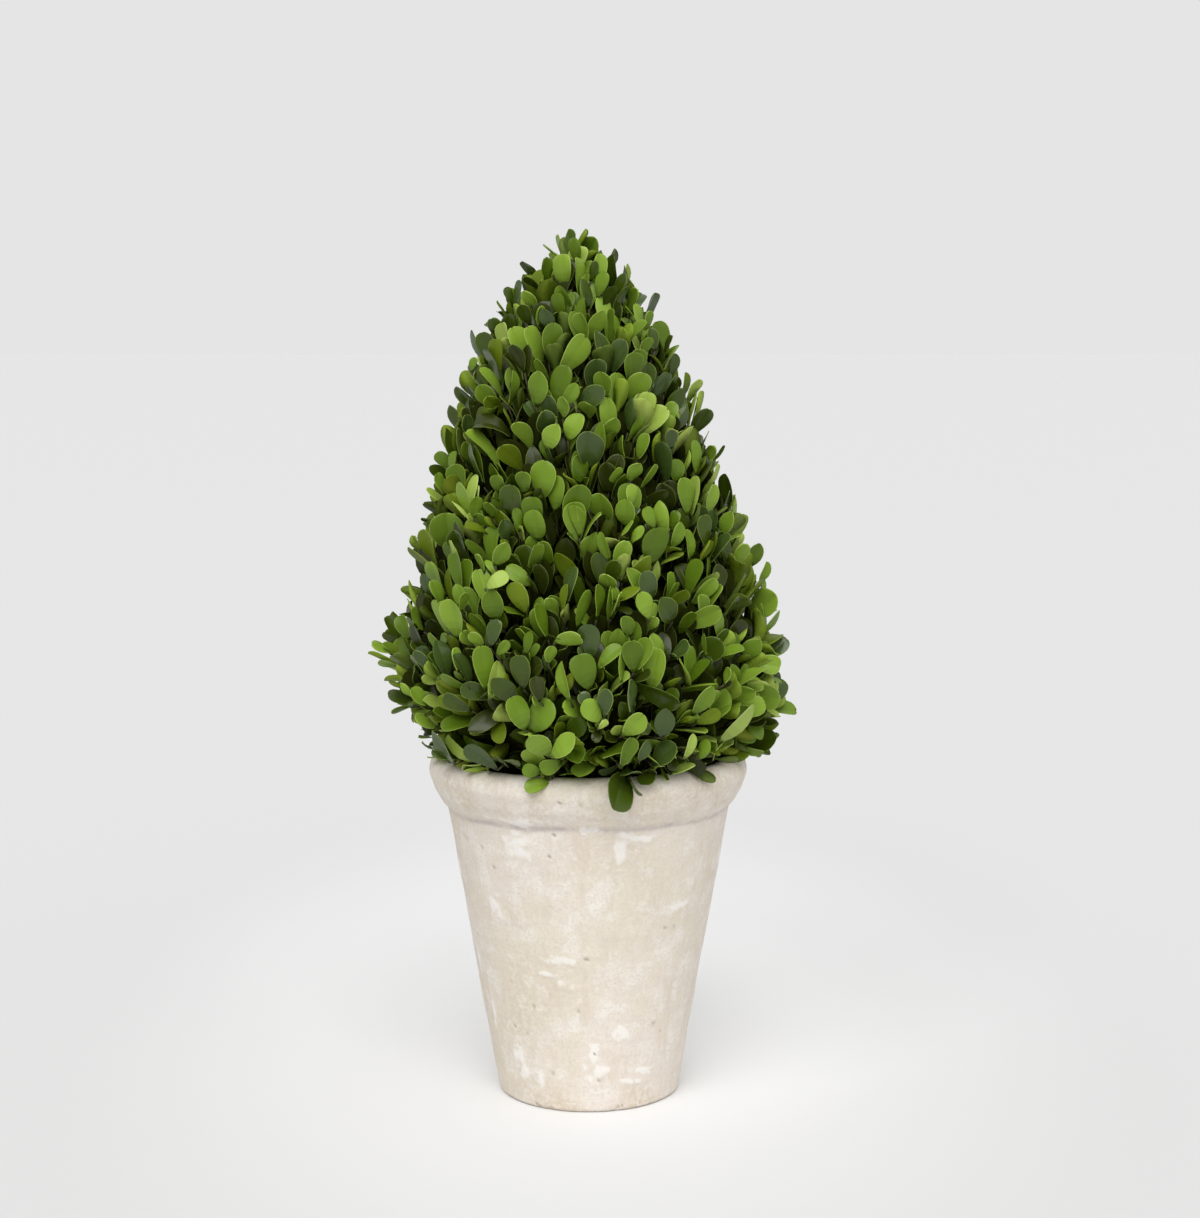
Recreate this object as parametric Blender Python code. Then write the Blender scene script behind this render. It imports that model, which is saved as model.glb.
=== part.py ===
"""Boxwood cone topiary in a terracotta pot, in metres with +Z up.

A clipped, egg-shaped cone of boxwood stands in a tapering pot with a rolled rim.  The origin is the
centre of the pot's flat underside.  The pot is filled to just under its rim, a slim trunk stands on the
fill and leans a little, and two masses of foliage sit round it: a skirt that spreads over the rim, and
the cone above.  Each mass is a turned core with three-sided twigs standing out of it, and each twig
carries pairs of leaves.
"""

import math
import random

import bmesh
import bpy
from mathutils import Matrix, Vector
from mathutils.bvhtree import BVHTree

MM = 0.001
CLEARANCE = 0.3 * MM  # between two solids that touch on the real plant
MERGE_DISTANCE = 0.01 * MM
SEED = 1607

# ---- Pot ----
POT_HEIGHT = 163.0 * MM
FOOT_RADIUS = 42.8 * MM
FOOT_ROUNDING = 2.6 * MM
NECK_RADIUS = 66.6 * MM  # where the wall meets the rolled rim
NECK_HEIGHT = 137.5 * MM
RIM_RADIUS = 75.2 * MM
MOUTH_RADIUS = 62.6 * MM
RIM_CREST_RADIUS = 0.5 * (RIM_RADIUS + MOUTH_RADIUS)
LIP_DROP = 5.0 * MM  # from the rim's crest to where its inner lip stands upright
ROLL_DROP = 7.6 * MM  # from the rim's crest to where its roll is widest
UNDER_ROLL = (  # the hollow under the roll: distance out from the neck, and up
    (6.0 * MM, 9.4 * MM),
    (2.6 * MM, 3.6 * MM),
    (0.0, 0.6 * MM),
)
WALL = 8.0 * MM
FLOOR = 10.0 * MM
INNER_CORNER = 4.0 * MM  # bevel between the floor and the inside of the wall
POT_SIDES = 48

# ---- Fill and trunk ----
FILL_TOP = 149.0 * MM
FILL_EDGE_DROP = 2.0 * MM  # the fill sinks a little towards the wall
FILL_GAP = 0.42 * MM  # to the pot's wall, measured level
TRUNK_SEAT_RADIUS = 15.0 * MM  # the level middle of the fill
TRUNK_RADIUS = 7.5 * MM
TRUNK_FLARE_RADIUS = 12.0 * MM
TRUNK_FLARE_HEIGHT = 11.0 * MM
TRUNK_FLARE_RINGS = (1.0, 0.6, 0.3)  # shares of the flare's height
TRUNK_TIP_RADIUS = 3.2 * MM
TRUNK_TOP = 352.0 * MM
TRUNK_SIDES = 16
LEAN_FOOT = FILL_TOP + TRUNK_FLARE_HEIGHT  # the trunk and the crown lean from here up
LEAN = -7.0 * MM  # how far along X, at the crown's top

# ---- Crown outline ----
CROWN_TOP = 407.0 * MM
CROWN_RADIUS = 95.0 * MM
WIDEST_HEIGHT = 205.0 * MM
CROWN_FOOT = 161.0 * MM
SHOULDER_POWER = 0.555  # how full the cone is between its widest height and its tip
FOOT_TUCK = 0.17  # share of the radius lost between the widest height and the crown's foot

# ---- Cores ----
CORE_DEPTH = 22.0 * MM  # from the leaf tips in to the core
CORE_SHIFT = 7.7 * MM  # the core follows the outline from this much further up
CORE_MOUTH_RADIUS = 57.0 * MM  # where the skirt's core goes down into the pot's mouth
CORE_SHOULDER = POT_HEIGHT - 2.0 * MM  # where it starts to widen
CORE_OVER_RIM = POT_HEIGHT + 4.0 * MM  # where it has its full width
CORE_FOOT = FILL_TOP + CLEARANCE
CORE_TOP = CROWN_TOP - 28.0 * MM
CORE_TOP_BEVEL = 2.0 * MM
CORE_SIDES = 24
SKIRT_CORE_STEPS = 3
CONE_CORE_STEPS = 4

# A funnel that rises outwards, as the twigs do, parts the skirt from the cone.
SKIRT = "foliage_skirt"
CONE = "foliage_cone"
FUNNEL_HEIGHT = 226.0 * MM  # at the crown's outline
FUNNEL_SLOPE = 0.72
FUNNEL_MARGIN = 0.4 * MM  # a leaf keeps this clear of the funnel

# ---- Twigs ----
TWIGS = 136
TWIG_TRIES = 10
TWIG_RADIUS = 1.15 * MM
TWIG_TIP_SHARE = 0.8  # of the radius
TWIG_SUNK = 4.5 * MM
TWIG_WANDER = (-2.5 * MM, 1.5 * MM)  # how far a twig reaches past the outline
TWIG_TILT = math.radians(8.0)
TWIG_TURN = math.radians(14.0)
LONGEST_TWIG = 60.0 * MM
ROOT_STEP = 0.25 * MM  # of the walk from a twig's tip down to the core
TWIG_RISE = (  # height of a twig's tip, and how steeply the twig points up, in degrees
    (161.0 * MM, -30.0),
    (170.0 * MM, -12.0),
    (180.0 * MM, 6.0),
    (195.0 * MM, 24.0),
    (215.0 * MM, 37.0),
    (260.0 * MM, 50.0),
    (330.0 * MM, 62.0),
    (385.0 * MM, 76.0),
    (407.0 * MM, 88.0),
)
STRAY_TWIGS = (  # proud of the outline or hanging over the rim: azimuth, height, reach and rise
    (0.0, 408.5 * MM, 2.0 * MM, 86.0),
    (181.0, 212.0 * MM, 101.0 * MM, 25.0),
    (174.0, 184.0 * MM, 94.0 * MM, 8.0),
    (4.0, 168.0 * MM, 91.0 * MM, -4.0),
    (-4.0, 190.0 * MM, 95.0 * MM, 20.0),
    (3.0, 238.0 * MM, 92.0 * MM, 44.0),
    (-9.0, 229.0 * MM, 93.0 * MM, 40.0),
    (-78.0, 152.5 * MM, 84.0 * MM, -42.0),
    (-108.0, 158.0 * MM, 83.0 * MM, -34.0),
)
OUTLINE_STEPS = 400  # for spreading the twigs evenly over the outline
GOLDEN_ANGLE = math.pi * (3.0 - math.sqrt(5.0))

# ---- Leaves ----
PAIRS = 3
PAIR_SPACING = 5.5 * MM
PAIR_STEP = 0.9 * MM  # between the two leaves of a pair
END_BUD = 0.6 * MM  # from the end pair to the twig's tip
LEAF_LENGTH = 25.0 * MM
LEAF_WIDTH = 15.5 * MM
LEAF_THICKNESS = 0.9 * MM
LEAF_SPREAD = (28.0, 46.0, 62.0)  # degrees from the twig, from the end pair down
LEAF_REACH = 0.86 * LEAF_LENGTH  # of the end pair, past the twig's tip
LEAF_ROLL = 22.0  # degrees
LEAF_CURL = (-3.0 * MM, 1.0 * MM)
LEAF_SUNK = 0.5 * MM  # depth of a leaf's root in its twig, past the twig's centre line
LEAF_ROOT_DEPTH = 2.5 * MM  # of a leaf that is rooted in a core and not on its twig
LEAF_TRIES = 14
LIMB_MARGIN = 0.6 * MM  # a leaf or twig keeps this clear of the pot, the fill and the trunk
# A leaf's outline, from its root round to the right: share of its length, share of its half width.
LEAF_OUTLINE = ((0.0, 0.0), (0.47, 1.0), (0.95, 0.44), (0.95, -0.44), (0.47, -1.0))
LEAF_CORNERS = len(LEAF_OUTLINE)
LEAF_RIDGE = 0.52  # share of the length at which the upper side stands highest


# ---- Outlines as functions of height ----


def crown_radius(height):
    """The radius that the leaf tips reach."""
    if height >= CROWN_TOP:
        return 0.0
    if height >= WIDEST_HEIGHT:
        share = (height - WIDEST_HEIGHT) / (CROWN_TOP - WIDEST_HEIGHT)
        return CROWN_RADIUS * (1.0 - share) ** SHOULDER_POWER
    share = (WIDEST_HEIGHT - height) / (WIDEST_HEIGHT - CROWN_FOOT)
    return CROWN_RADIUS * (1.0 - FOOT_TUCK * share * share)


def core_radius(height):
    """The radius of the cores, skirt and cone alike."""
    if height > CORE_TOP:
        return 0.0
    if height < CORE_OVER_RIM:
        return CORE_MOUTH_RADIUS
    return max(0.0, crown_radius(height + CORE_SHIFT) - CORE_DEPTH)


def trunk_radius(height):
    """The trunk's radius: a flare at its foot, then an even taper."""
    up = height - FILL_TOP
    share = up / (TRUNK_TOP - FILL_TOP)
    straight = TRUNK_RADIUS + (TRUNK_TIP_RADIUS - TRUNK_RADIUS) * share
    if up >= TRUNK_FLARE_HEIGHT:
        return straight
    flare = (1.0 - up / TRUNK_FLARE_HEIGHT) ** 2
    return straight + (TRUNK_FLARE_RADIUS - TRUNK_RADIUS) * flare


def bore_radius(height):
    """The radius of the hole that a faceted core needs for the trunk."""
    return (trunk_radius(height) + CLEARANCE) / math.cos(math.pi / CORE_SIDES)


def lean(height):
    """How far the trunk and the crown have moved along X."""
    return LEAN * max(0.0, height - LEAN_FOOT) / (CROWN_TOP - LEAN_FOOT)


def wall_radius(height):
    """The outer radius of the pot's tapering wall."""
    return FOOT_RADIUS + (NECK_RADIUS - FOOT_RADIUS) * height / NECK_HEIGHT


def twig_rise(height):
    """How steeply a twig with its tip at this height points up, in radians."""
    low_height, low_rise = TWIG_RISE[0]
    for high_height, high_rise in TWIG_RISE[1:]:
        if height <= high_height:
            share = max(0.0, (height - low_height) / (high_height - low_height))
            return math.radians(low_rise + (high_rise - low_rise) * share)
        low_height, low_rise = high_height, high_rise
    return math.radians(TWIG_RISE[-1][1])


def funnel_height(radius):
    """The height of the funnel between the skirt and the cone, at a radius."""
    return FUNNEL_HEIGHT - FUNNEL_SLOPE * (crown_radius(FUNNEL_HEIGHT) - radius)


def rim_top(radius):
    """The height of the rim's upper surface at a radius, over its lip or its roll."""
    if radius < RIM_CREST_RADIUS:
        drop, span = LIP_DROP, RIM_CREST_RADIUS - MOUTH_RADIUS
    else:
        drop, span = ROLL_DROP, RIM_RADIUS - RIM_CREST_RADIUS
    across = min(1.0, abs(radius - RIM_CREST_RADIUS) / span)
    return POT_HEIGHT - drop * (1.0 - math.sqrt(1.0 - across * across))


# ---- Sections of the turned pieces, as lists of (radius, height) ----


def arc(centre, radii, start, end, steps):
    """Points of an elliptical arc, from one angle to another in degrees."""
    points = []
    for step in range(steps + 1):
        angle = math.radians(start + (end - start) * step / steps)
        points.append((centre[0] + radii[0] * math.cos(angle), centre[1] + radii[1] * math.sin(angle)))
    return points


def pot_outline():
    """From the middle of the floor up the inside, over the rolled rim and down to the foot."""
    floor_radius = wall_radius(FLOOR) - WALL
    inside = [
        (0.0, FLOOR),
        (floor_radius - INNER_CORNER, FLOOR),
        (floor_radius, FLOOR + INNER_CORNER),
        (NECK_RADIUS - WALL, NECK_HEIGHT),
    ]
    lip_radii = (RIM_CREST_RADIUS - MOUTH_RADIUS, LIP_DROP)
    lip = arc((RIM_CREST_RADIUS, POT_HEIGHT - LIP_DROP), lip_radii, 180.0, 100.0, 3)
    roll_radii = (RIM_RADIUS - RIM_CREST_RADIUS, ROLL_DROP)
    roll = arc((RIM_CREST_RADIUS, POT_HEIGHT - ROLL_DROP), roll_radii, 85.0, -10.0, 5)
    hollow = [(NECK_RADIUS + out, NECK_HEIGHT + up) for out, up in UNDER_ROLL]
    foot_middle = (wall_radius(FOOT_ROUNDING) - FOOT_ROUNDING, FOOT_ROUNDING)
    foot = arc(foot_middle, (FOOT_ROUNDING, FOOT_ROUNDING), 0.0, -90.0, 3)
    return inside + lip + roll + hollow + foot + [(0.0, 0.0)]


def fill_outline():
    """From the middle of the top out to the pot's wall and down to the floor."""
    edge_height = FILL_TOP - FILL_EDGE_DROP
    neck_inside = NECK_RADIUS - WALL
    floor_radius = wall_radius(FLOOR) - WALL
    lip_share = (edge_height - NECK_HEIGHT) / (POT_HEIGHT - LIP_DROP - NECK_HEIGHT)
    edge_radius = neck_inside + (MOUTH_RADIUS - neck_inside) * lip_share
    return [
        (0.0, FILL_TOP),
        (TRUNK_SEAT_RADIUS, FILL_TOP),
        (edge_radius - FILL_GAP, edge_height),
        (neck_inside - FILL_GAP, NECK_HEIGHT),
        (floor_radius - FILL_GAP, FLOOR + INNER_CORNER + CLEARANCE),
        (floor_radius - INNER_CORNER - FILL_GAP, FLOOR + CLEARANCE),
        (0.0, FLOOR + CLEARANCE),
    ]


def trunk_outline():
    """From the tip down the side to the flat cut on the fill."""
    foot = FILL_TOP + CLEARANCE
    heights = [TRUNK_TOP]
    heights += [FILL_TOP + TRUNK_FLARE_HEIGHT * share for share in TRUNK_FLARE_RINGS]
    heights.append(foot)
    side = [(trunk_radius(height), height) for height in heights]
    return [(0.0, TRUNK_TOP)] + side + [(0.0, foot)]


def seam_height():
    """The height at which the funnel meets the side of the cores."""
    low, high = CORE_OVER_RIM, CORE_TOP
    while high - low > MERGE_DISTANCE:
        middle = 0.5 * (low + high)
        if middle < funnel_height(core_radius(middle)):
            low = middle
        else:
            high = middle
    return low


def core_side(low, high, steps):
    heights = [low + (high - low) * step / steps for step in range(steps + 1)]
    return [(core_radius(height), height) for height in heights]


def skirt_core_outline():
    """A ring round the trunk's foot, from its foot in the pot's mouth up to the funnel."""
    inner = bore_radius(funnel_height(TRUNK_RADIUS))
    return [
        (bore_radius(CORE_FOOT), CORE_FOOT),
        (CORE_MOUTH_RADIUS, CORE_FOOT),
        (CORE_MOUTH_RADIUS, CORE_SHOULDER),
        *core_side(CORE_OVER_RIM, seam_height() - 0.5 * CLEARANCE, SKIRT_CORE_STEPS),
        (inner, funnel_height(inner) - 0.5 * CLEARANCE),
    ]


def cone_core_outline():
    """A cap over the trunk's tip: down the hole for the trunk, out along the funnel and up the side."""
    inner = bore_radius(funnel_height(TRUNK_RADIUS))
    return [
        (0.0, TRUNK_TOP + CLEARANCE),
        (bore_radius(TRUNK_TOP), TRUNK_TOP + CLEARANCE),
        (inner, funnel_height(inner) + 0.5 * CLEARANCE),
        *core_side(seam_height() + 0.5 * CLEARANCE, CORE_TOP - CORE_TOP_BEVEL, CONE_CORE_STEPS),
        (0.0, CORE_TOP),
    ]


# ---- Spaces that a twig or leaf keeps to ----


def in_core(point, depth=0.0):
    return math.hypot(point.x, point.y) < core_radius(point.z) - depth


def in_pot(point):
    """Whether a point is inside the pot or its fill, or too close to them."""
    radius = math.hypot(point.x, point.y)
    if radius > RIM_RADIUS + LIMB_MARGIN:
        return False
    if radius > MOUTH_RADIUS - LIMB_MARGIN:
        return point.z < rim_top(min(RIM_RADIUS, max(MOUTH_RADIUS, radius))) + LIMB_MARGIN
    return point.z < FILL_TOP + LIMB_MARGIN


def in_trunk(point):
    """Whether a point is inside the trunk, or too close to it."""
    radius = math.hypot(point.x, point.y)
    return point.z < TRUNK_TOP + LIMB_MARGIN and radius < trunk_radius(point.z) + LIMB_MARGIN


def mass_of(point):
    """The mass whose side of the funnel a point is on."""
    return CONE if point.z > funnel_height(math.hypot(point.x, point.y)) else SKIRT


def in_mass(point, mass):
    """Whether a point is on its mass's side of the funnel, and clear of it."""
    above = point.z - funnel_height(math.hypot(point.x, point.y))
    return above > FUNNEL_MARGIN if mass == CONE else above < -FUNNEL_MARGIN


def keeps_clear(piece, mass):
    """Whether a piece stays in its mass's space, and off the pot, the fill and the trunk."""
    for point in piece.spread_points():
        if in_pot(point) or in_trunk(point) or not in_mass(point, mass):
            return False
    return True


# ---- Twigs and leaves ----


class Piece:
    """A small closed mesh, with what is needed to see whether it crosses another."""

    def __init__(self, points, faces):
        self.points = points
        self.faces = faces
        self.tree = BVHTree.FromPolygons(points, faces, all_triangles=True)
        self.centre = sum(points, Vector()) / len(points)
        self.reach = max((point - self.centre).length for point in points)

    def crosses(self, other):
        near = (self.centre - other.centre).length < self.reach + other.reach
        return near and bool(self.tree.overlap(other.tree))

    def spread_points(self):
        """The corners, and the middle of each edge and face."""
        found = list(self.points)
        for face in self.faces:
            corners = [self.points[corner] for corner in face]
            found.append(sum(corners, Vector()) / 3.0)
            for first, second in zip(corners, corners[1:] + corners[:1]):
                found.append(0.5 * (first + second))
        return found


def twig_piece(root, tip):
    """A three-sided twig, a little thinner at its tip."""
    along = (tip - root).normalized()
    across = along.orthogonal().normalized()
    points = []
    for end, radius in ((root, TWIG_RADIUS), (tip, TWIG_TIP_SHARE * TWIG_RADIUS)):
        for corner in range(3):
            turn = Matrix.Rotation(2.0 * math.pi * corner / 3.0, 3, along)
            points.append(end + turn @ across * radius)
    faces = [(0, 2, 1), (3, 4, 5)]
    for corner in range(3):
        following = (corner + 1) % 3
        faces.append((corner, following, following + 3))
        faces.append((corner, following + 3, corner + 3))
    return Piece(points, faces)


def leaf_piece(root, along, face, length, width, curl):
    """A leaf of eight faces: a blunt, egg-shaped outline with a raised middle above."""
    across = along.cross(face).normalized()
    points = []
    for share, side in LEAF_OUTLINE:
        bend = curl * share * share
        points.append(root + along * length * share + across * 0.5 * width * side + face * bend)
    ridge = curl * LEAF_RIDGE * LEAF_RIDGE + LEAF_THICKNESS
    points.append(root + along * length * LEAF_RIDGE + face * ridge)
    last = LEAF_CORNERS - 1
    faces = [(0, last, 1), (1, last, last - 1), (1, last - 1, 2)]
    for corner in range(LEAF_CORNERS):
        faces.append((corner, (corner + 1) % LEAF_CORNERS, LEAF_CORNERS))
    return Piece(points, faces)


def tip_places():
    """Where the twigs reach to: the strays, then a spiral that is even over the crown's outline."""
    places = []
    for turn, height, reach, rise in STRAY_TWIGS:
        places.append((math.radians(turn), height, reach, math.radians(rise)))
    rise_step = (CROWN_TOP - CROWN_FOOT) / OUTLINE_STEPS
    heights = [CROWN_FOOT + rise_step * step for step in range(OUTLINE_STEPS + 1)]
    areas = [0.0]
    for low, high in zip(heights, heights[1:]):
        slant = math.hypot(high - low, crown_radius(high) - crown_radius(low))
        areas.append(areas[-1] + slant * 0.5 * (crown_radius(low) + crown_radius(high)))
    step = 0
    for twig in range(TWIGS):
        wanted = areas[-1] * (twig + 0.5) / TWIGS
        while areas[step + 1] < wanted:
            step += 1
        share = (wanted - areas[step]) / (areas[step + 1] - areas[step])
        height = heights[step] + rise_step * share
        places.append((twig * GOLDEN_ANGLE, height, crown_radius(height), twig_rise(height)))
    return places


def twig_line(azimuth, height, reach, rise, chance):
    """A twig's root on the core, its tip and its direction, from where its leaf tips have to reach."""
    radius = reach + chance.uniform(*TWIG_WANDER)
    target = Vector((radius * math.cos(azimuth), radius * math.sin(azimuth), height))
    rise += chance.uniform(-TWIG_TILT, TWIG_TILT)
    turned = azimuth + chance.uniform(-TWIG_TURN, TWIG_TURN)
    along = Vector((math.cos(rise) * math.cos(turned), math.cos(rise) * math.sin(turned), math.sin(rise)))
    tip = target - along * LEAF_REACH
    root = tip.copy()
    while not in_core(root) and (tip - root).length < LONGEST_TWIG:
        root -= along * ROOT_STEP
    return root, tip, along


def leaf_on(axis, place, azimuth, spread, size, chance):
    """A leaf rooted on a twig, at a turn round the twig and an angle away from it."""
    side = Matrix.Rotation(azimuth, 3, axis) @ axis.orthogonal().normalized()
    along = axis * math.cos(spread) + side * math.sin(spread)
    face = axis * math.sin(spread) - side * math.cos(spread)
    roll = Matrix.Rotation(math.radians(chance.uniform(-LEAF_ROLL, LEAF_ROLL)), 3, along)
    return leaf_piece(
        place - side * LEAF_SUNK,
        along,
        roll @ face,
        LEAF_LENGTH * size,
        LEAF_WIDTH * size * chance.uniform(0.9, 1.08),
        chance.uniform(*LEAF_CURL),
    )


def fit_leaf(axis, place, azimuth, pair, twig, mass, taken, chance):
    """A leaf that fits beside what has grown so far, or None after a number of ever looser tries."""
    near = [other for other in taken if (other.centre - place).length < other.reach + 1.3 * LEAF_LENGTH]
    for attempt in range(LEAF_TRIES):
        loose = attempt / LEAF_TRIES
        turn = azimuth + math.radians(chance.uniform(-12.0, 12.0) * (1.0 + 3.0 * loose))
        spread = math.radians(LEAF_SPREAD[pair] + chance.uniform(-7.0, 9.0) * (1.0 + 2.0 * loose))
        size = chance.uniform(0.9, 1.1) * (1.0 - 0.25 * loose)
        leaf = leaf_on(axis, place, turn, spread, size, chance)
        rooted = leaf.crosses(twig) or in_core(leaf.points[0], LEAF_ROOT_DEPTH)
        shows = not any(in_core(point) for point in leaf.points[1:LEAF_CORNERS])
        if rooted and shows and keeps_clear(leaf, mass) and not any(leaf.crosses(other) for other in near):
            return leaf
    return None


def grow_twig(azimuth, height, reach, rise, taken, chance):
    """One twig with its leaves, and its mass: the fullest of a few tries."""
    best, best_mass = [], SKIRT
    for _ in range(TWIG_TRIES):
        root, tip, axis = twig_line(azimuth, height, reach, rise, chance)
        mass = mass_of(root)
        twig = twig_piece(root - axis * TWIG_SUNK, tip)
        if not keeps_clear(twig, mass) or any(twig.crosses(other) for other in taken):
            continue
        grown = [twig]
        turn = chance.uniform(0.0, 2.0 * math.pi)
        for pair in range(PAIRS):
            node = tip - axis * (END_BUD + pair * PAIR_SPACING)
            for side in range(2):
                place = node - axis * PAIR_STEP * side
                others = taken + grown[1:]
                leaf = fit_leaf(axis, place, turn + math.pi * side, pair, twig, mass, others, chance)
                if leaf:
                    grown.append(leaf)
            turn += 0.5 * math.pi
        if len(grown) > len(best):
            best, best_mass = grown, mass
        if len(best) >= 2 * PAIRS:
            break
    return best, best_mass


def grow_masses():
    """The twigs and leaves of each mass."""
    chance = random.Random(SEED)
    masses = {SKIRT: [], CONE: []}
    taken = []
    for azimuth, height, reach, rise in tip_places():
        grown, mass = grow_twig(azimuth, height, reach, rise, taken, chance)
        taken += grown
        masses[mass] += grown
    return masses


# ---- Objects ----


def clear_scene():
    for obj in list(bpy.data.objects):
        bpy.data.objects.remove(obj, do_unlink=True)


def make_material(name, colour, roughness):
    material = bpy.data.materials.new(name)
    material.use_nodes = True
    shader = material.node_tree.nodes["Principled BSDF"]
    shader.inputs["Base Color"].default_value = (*colour, 1.0)
    shader.inputs["Roughness"].default_value = roughness
    shader.inputs["Metallic"].default_value = 0.0
    return material


def turned_object(name, outline, sides, material, parent, closed=False):
    """A solid turned about Z from a section that starts and ends on the axis, or is closed."""
    shape = bmesh.new()
    corners = [shape.verts.new((radius, 0.0, height)) for radius, height in outline]
    edges = [shape.edges.new(pair) for pair in zip(corners, corners[1:])]
    if closed:
        edges.append(shape.edges.new((corners[-1], corners[0])))
    bmesh.ops.spin(
        shape,
        geom=corners + edges,
        cent=(0.0, 0.0, 0.0),
        axis=(0.0, 0.0, 1.0),
        angle=2.0 * math.pi,
        steps=sides,
        use_merge=True,
    )
    bmesh.ops.remove_doubles(shape, verts=shape.verts, dist=MERGE_DISTANCE)
    bmesh.ops.recalc_face_normals(shape, faces=shape.faces)
    mesh = bpy.data.meshes.new(name)
    shape.to_mesh(mesh)
    shape.free()
    mesh.materials.append(material)
    obj = bpy.data.objects.new(name, mesh)
    obj.parent = parent
    bpy.context.scene.collection.objects.link(obj)
    return obj


def lean_over(obj):
    for vertex in obj.data.vertices:
        vertex.co.x += lean(vertex.co.z)


def smooth(obj, degrees):
    obj.data.shade_smooth()
    obj.data.set_sharp_from_angle(angle=math.radians(degrees))


def fuse(core, pieces):
    """Joins the twigs and leaves to their core with one Boolean union on a collection."""
    growth = bpy.data.collections.new(core.name + "_growth")
    bpy.context.scene.collection.children.link(growth)
    for number, piece in enumerate(pieces):
        mesh = bpy.data.meshes.new(f"{core.name}_{number}")
        mesh.from_pydata([point[:] for point in piece.points], [], piece.faces)
        growth.objects.link(bpy.data.objects.new(mesh.name, mesh))
    union = core.modifiers.new("Union", "BOOLEAN")
    union.operation = "UNION"
    union.operand_type = "COLLECTION"
    union.collection = growth
    union.solver = "MANIFOLD"
    graph = bpy.context.evaluated_depsgraph_get()
    joined = bpy.data.meshes.new_from_object(core.evaluated_get(graph), depsgraph=graph)
    joined.name = core.name
    core.modifiers.remove(union)
    core.data = joined
    for obj in list(growth.objects):
        bpy.data.objects.remove(obj, do_unlink=True)
    bpy.data.collections.remove(growth)


def build():
    clear_scene()
    terracotta = make_material("aged_terracotta", (0.74, 0.67, 0.57), 0.9)
    filling = make_material("potting_fill", (0.075, 0.055, 0.035), 0.95)
    bark = make_material("bark", (0.19, 0.13, 0.08), 0.85)
    leaves = make_material("boxwood_leaves", (0.115, 0.235, 0.035), 0.5)

    plant = bpy.data.objects.new("topiary", None)
    bpy.context.scene.collection.objects.link(plant)

    pot = turned_object("pot", pot_outline(), POT_SIDES, terracotta, plant)
    smooth(pot, 50.0)
    turned_object("potting_fill", fill_outline(), POT_SIDES, filling, plant)
    trunk = turned_object("trunk", trunk_outline(), TRUNK_SIDES, bark, plant)
    lean_over(trunk)
    smooth(trunk, 40.0)

    masses = grow_masses()
    skirt = turned_object(SKIRT, skirt_core_outline(), CORE_SIDES, leaves, plant, closed=True)
    cone = turned_object(CONE, cone_core_outline(), CORE_SIDES, leaves, plant)
    for core in (skirt, cone):
        fuse(core, masses[core.name])
        lean_over(core)


build()
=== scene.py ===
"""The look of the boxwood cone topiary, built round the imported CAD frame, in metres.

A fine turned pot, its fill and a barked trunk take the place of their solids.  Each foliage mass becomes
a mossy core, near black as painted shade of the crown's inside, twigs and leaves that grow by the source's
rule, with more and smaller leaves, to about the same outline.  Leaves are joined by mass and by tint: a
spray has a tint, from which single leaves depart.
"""

import math
import random

import bpy
import numpy as np
from mathutils import Matrix, Vector, noise
from mathutils.bvhtree import BVHTree


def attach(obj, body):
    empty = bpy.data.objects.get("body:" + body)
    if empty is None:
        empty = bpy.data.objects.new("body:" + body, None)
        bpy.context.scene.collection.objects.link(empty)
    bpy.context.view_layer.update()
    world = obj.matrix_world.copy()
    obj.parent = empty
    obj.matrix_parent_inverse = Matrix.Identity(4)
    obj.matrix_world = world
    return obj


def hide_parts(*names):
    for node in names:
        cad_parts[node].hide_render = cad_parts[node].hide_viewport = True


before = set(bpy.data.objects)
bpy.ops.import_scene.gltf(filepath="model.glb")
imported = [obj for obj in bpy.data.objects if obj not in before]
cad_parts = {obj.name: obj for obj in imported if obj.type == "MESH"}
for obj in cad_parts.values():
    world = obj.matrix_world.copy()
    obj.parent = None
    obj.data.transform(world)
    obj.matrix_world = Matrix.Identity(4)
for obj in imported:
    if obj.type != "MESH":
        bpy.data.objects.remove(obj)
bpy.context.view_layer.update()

MM = 0.001
SEED = 1607
BODY = "root"
GOLDEN_ANGLE = math.pi * (3.0 - math.sqrt(5.0))

# ---- Camera, fitted to the photo ----
PHOTO_WIDTH = 1200
PHOTO_HEIGHT = 1218
CAMERA_PLACE = Vector((5.5 * MM, -1100.0 * MM, 360.0 * MM))
CAMERA_PITCH = math.radians(6.7)  # downwards
FOCAL_PIXELS = 2350.0
SENSOR = 36.0
POT_DISTANCE = 1100.0  # in mm, level, from the camera to the middle of the pot
SIGHT_START = 0.92  # metres along a pixel's ray, short of the plant
SIGHT_STEP = 0.0005
SIGHT_STEPS = 800

# ---- Pot, as in the source ----
POT_HEIGHT = 163.0 * MM
FOOT_RADIUS = 42.8 * MM
FOOT_ROUNDING = 2.6 * MM
NECK_RADIUS = 66.6 * MM
NECK_HEIGHT = 137.5 * MM
RIM_RADIUS = 75.2 * MM
MOUTH_RADIUS = 62.6 * MM
RIM_CREST_RADIUS = 0.5 * (RIM_RADIUS + MOUTH_RADIUS)
LIP_DROP = 5.0 * MM
ROLL_DROP = 7.6 * MM
UNDER_ROLL = ((6.0 * MM, 9.4 * MM), (2.6 * MM, 3.6 * MM), (0.0, 0.6 * MM))
WALL = 8.0 * MM
FLOOR = 10.0 * MM
INNER_CORNER = 4.0 * MM

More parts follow.
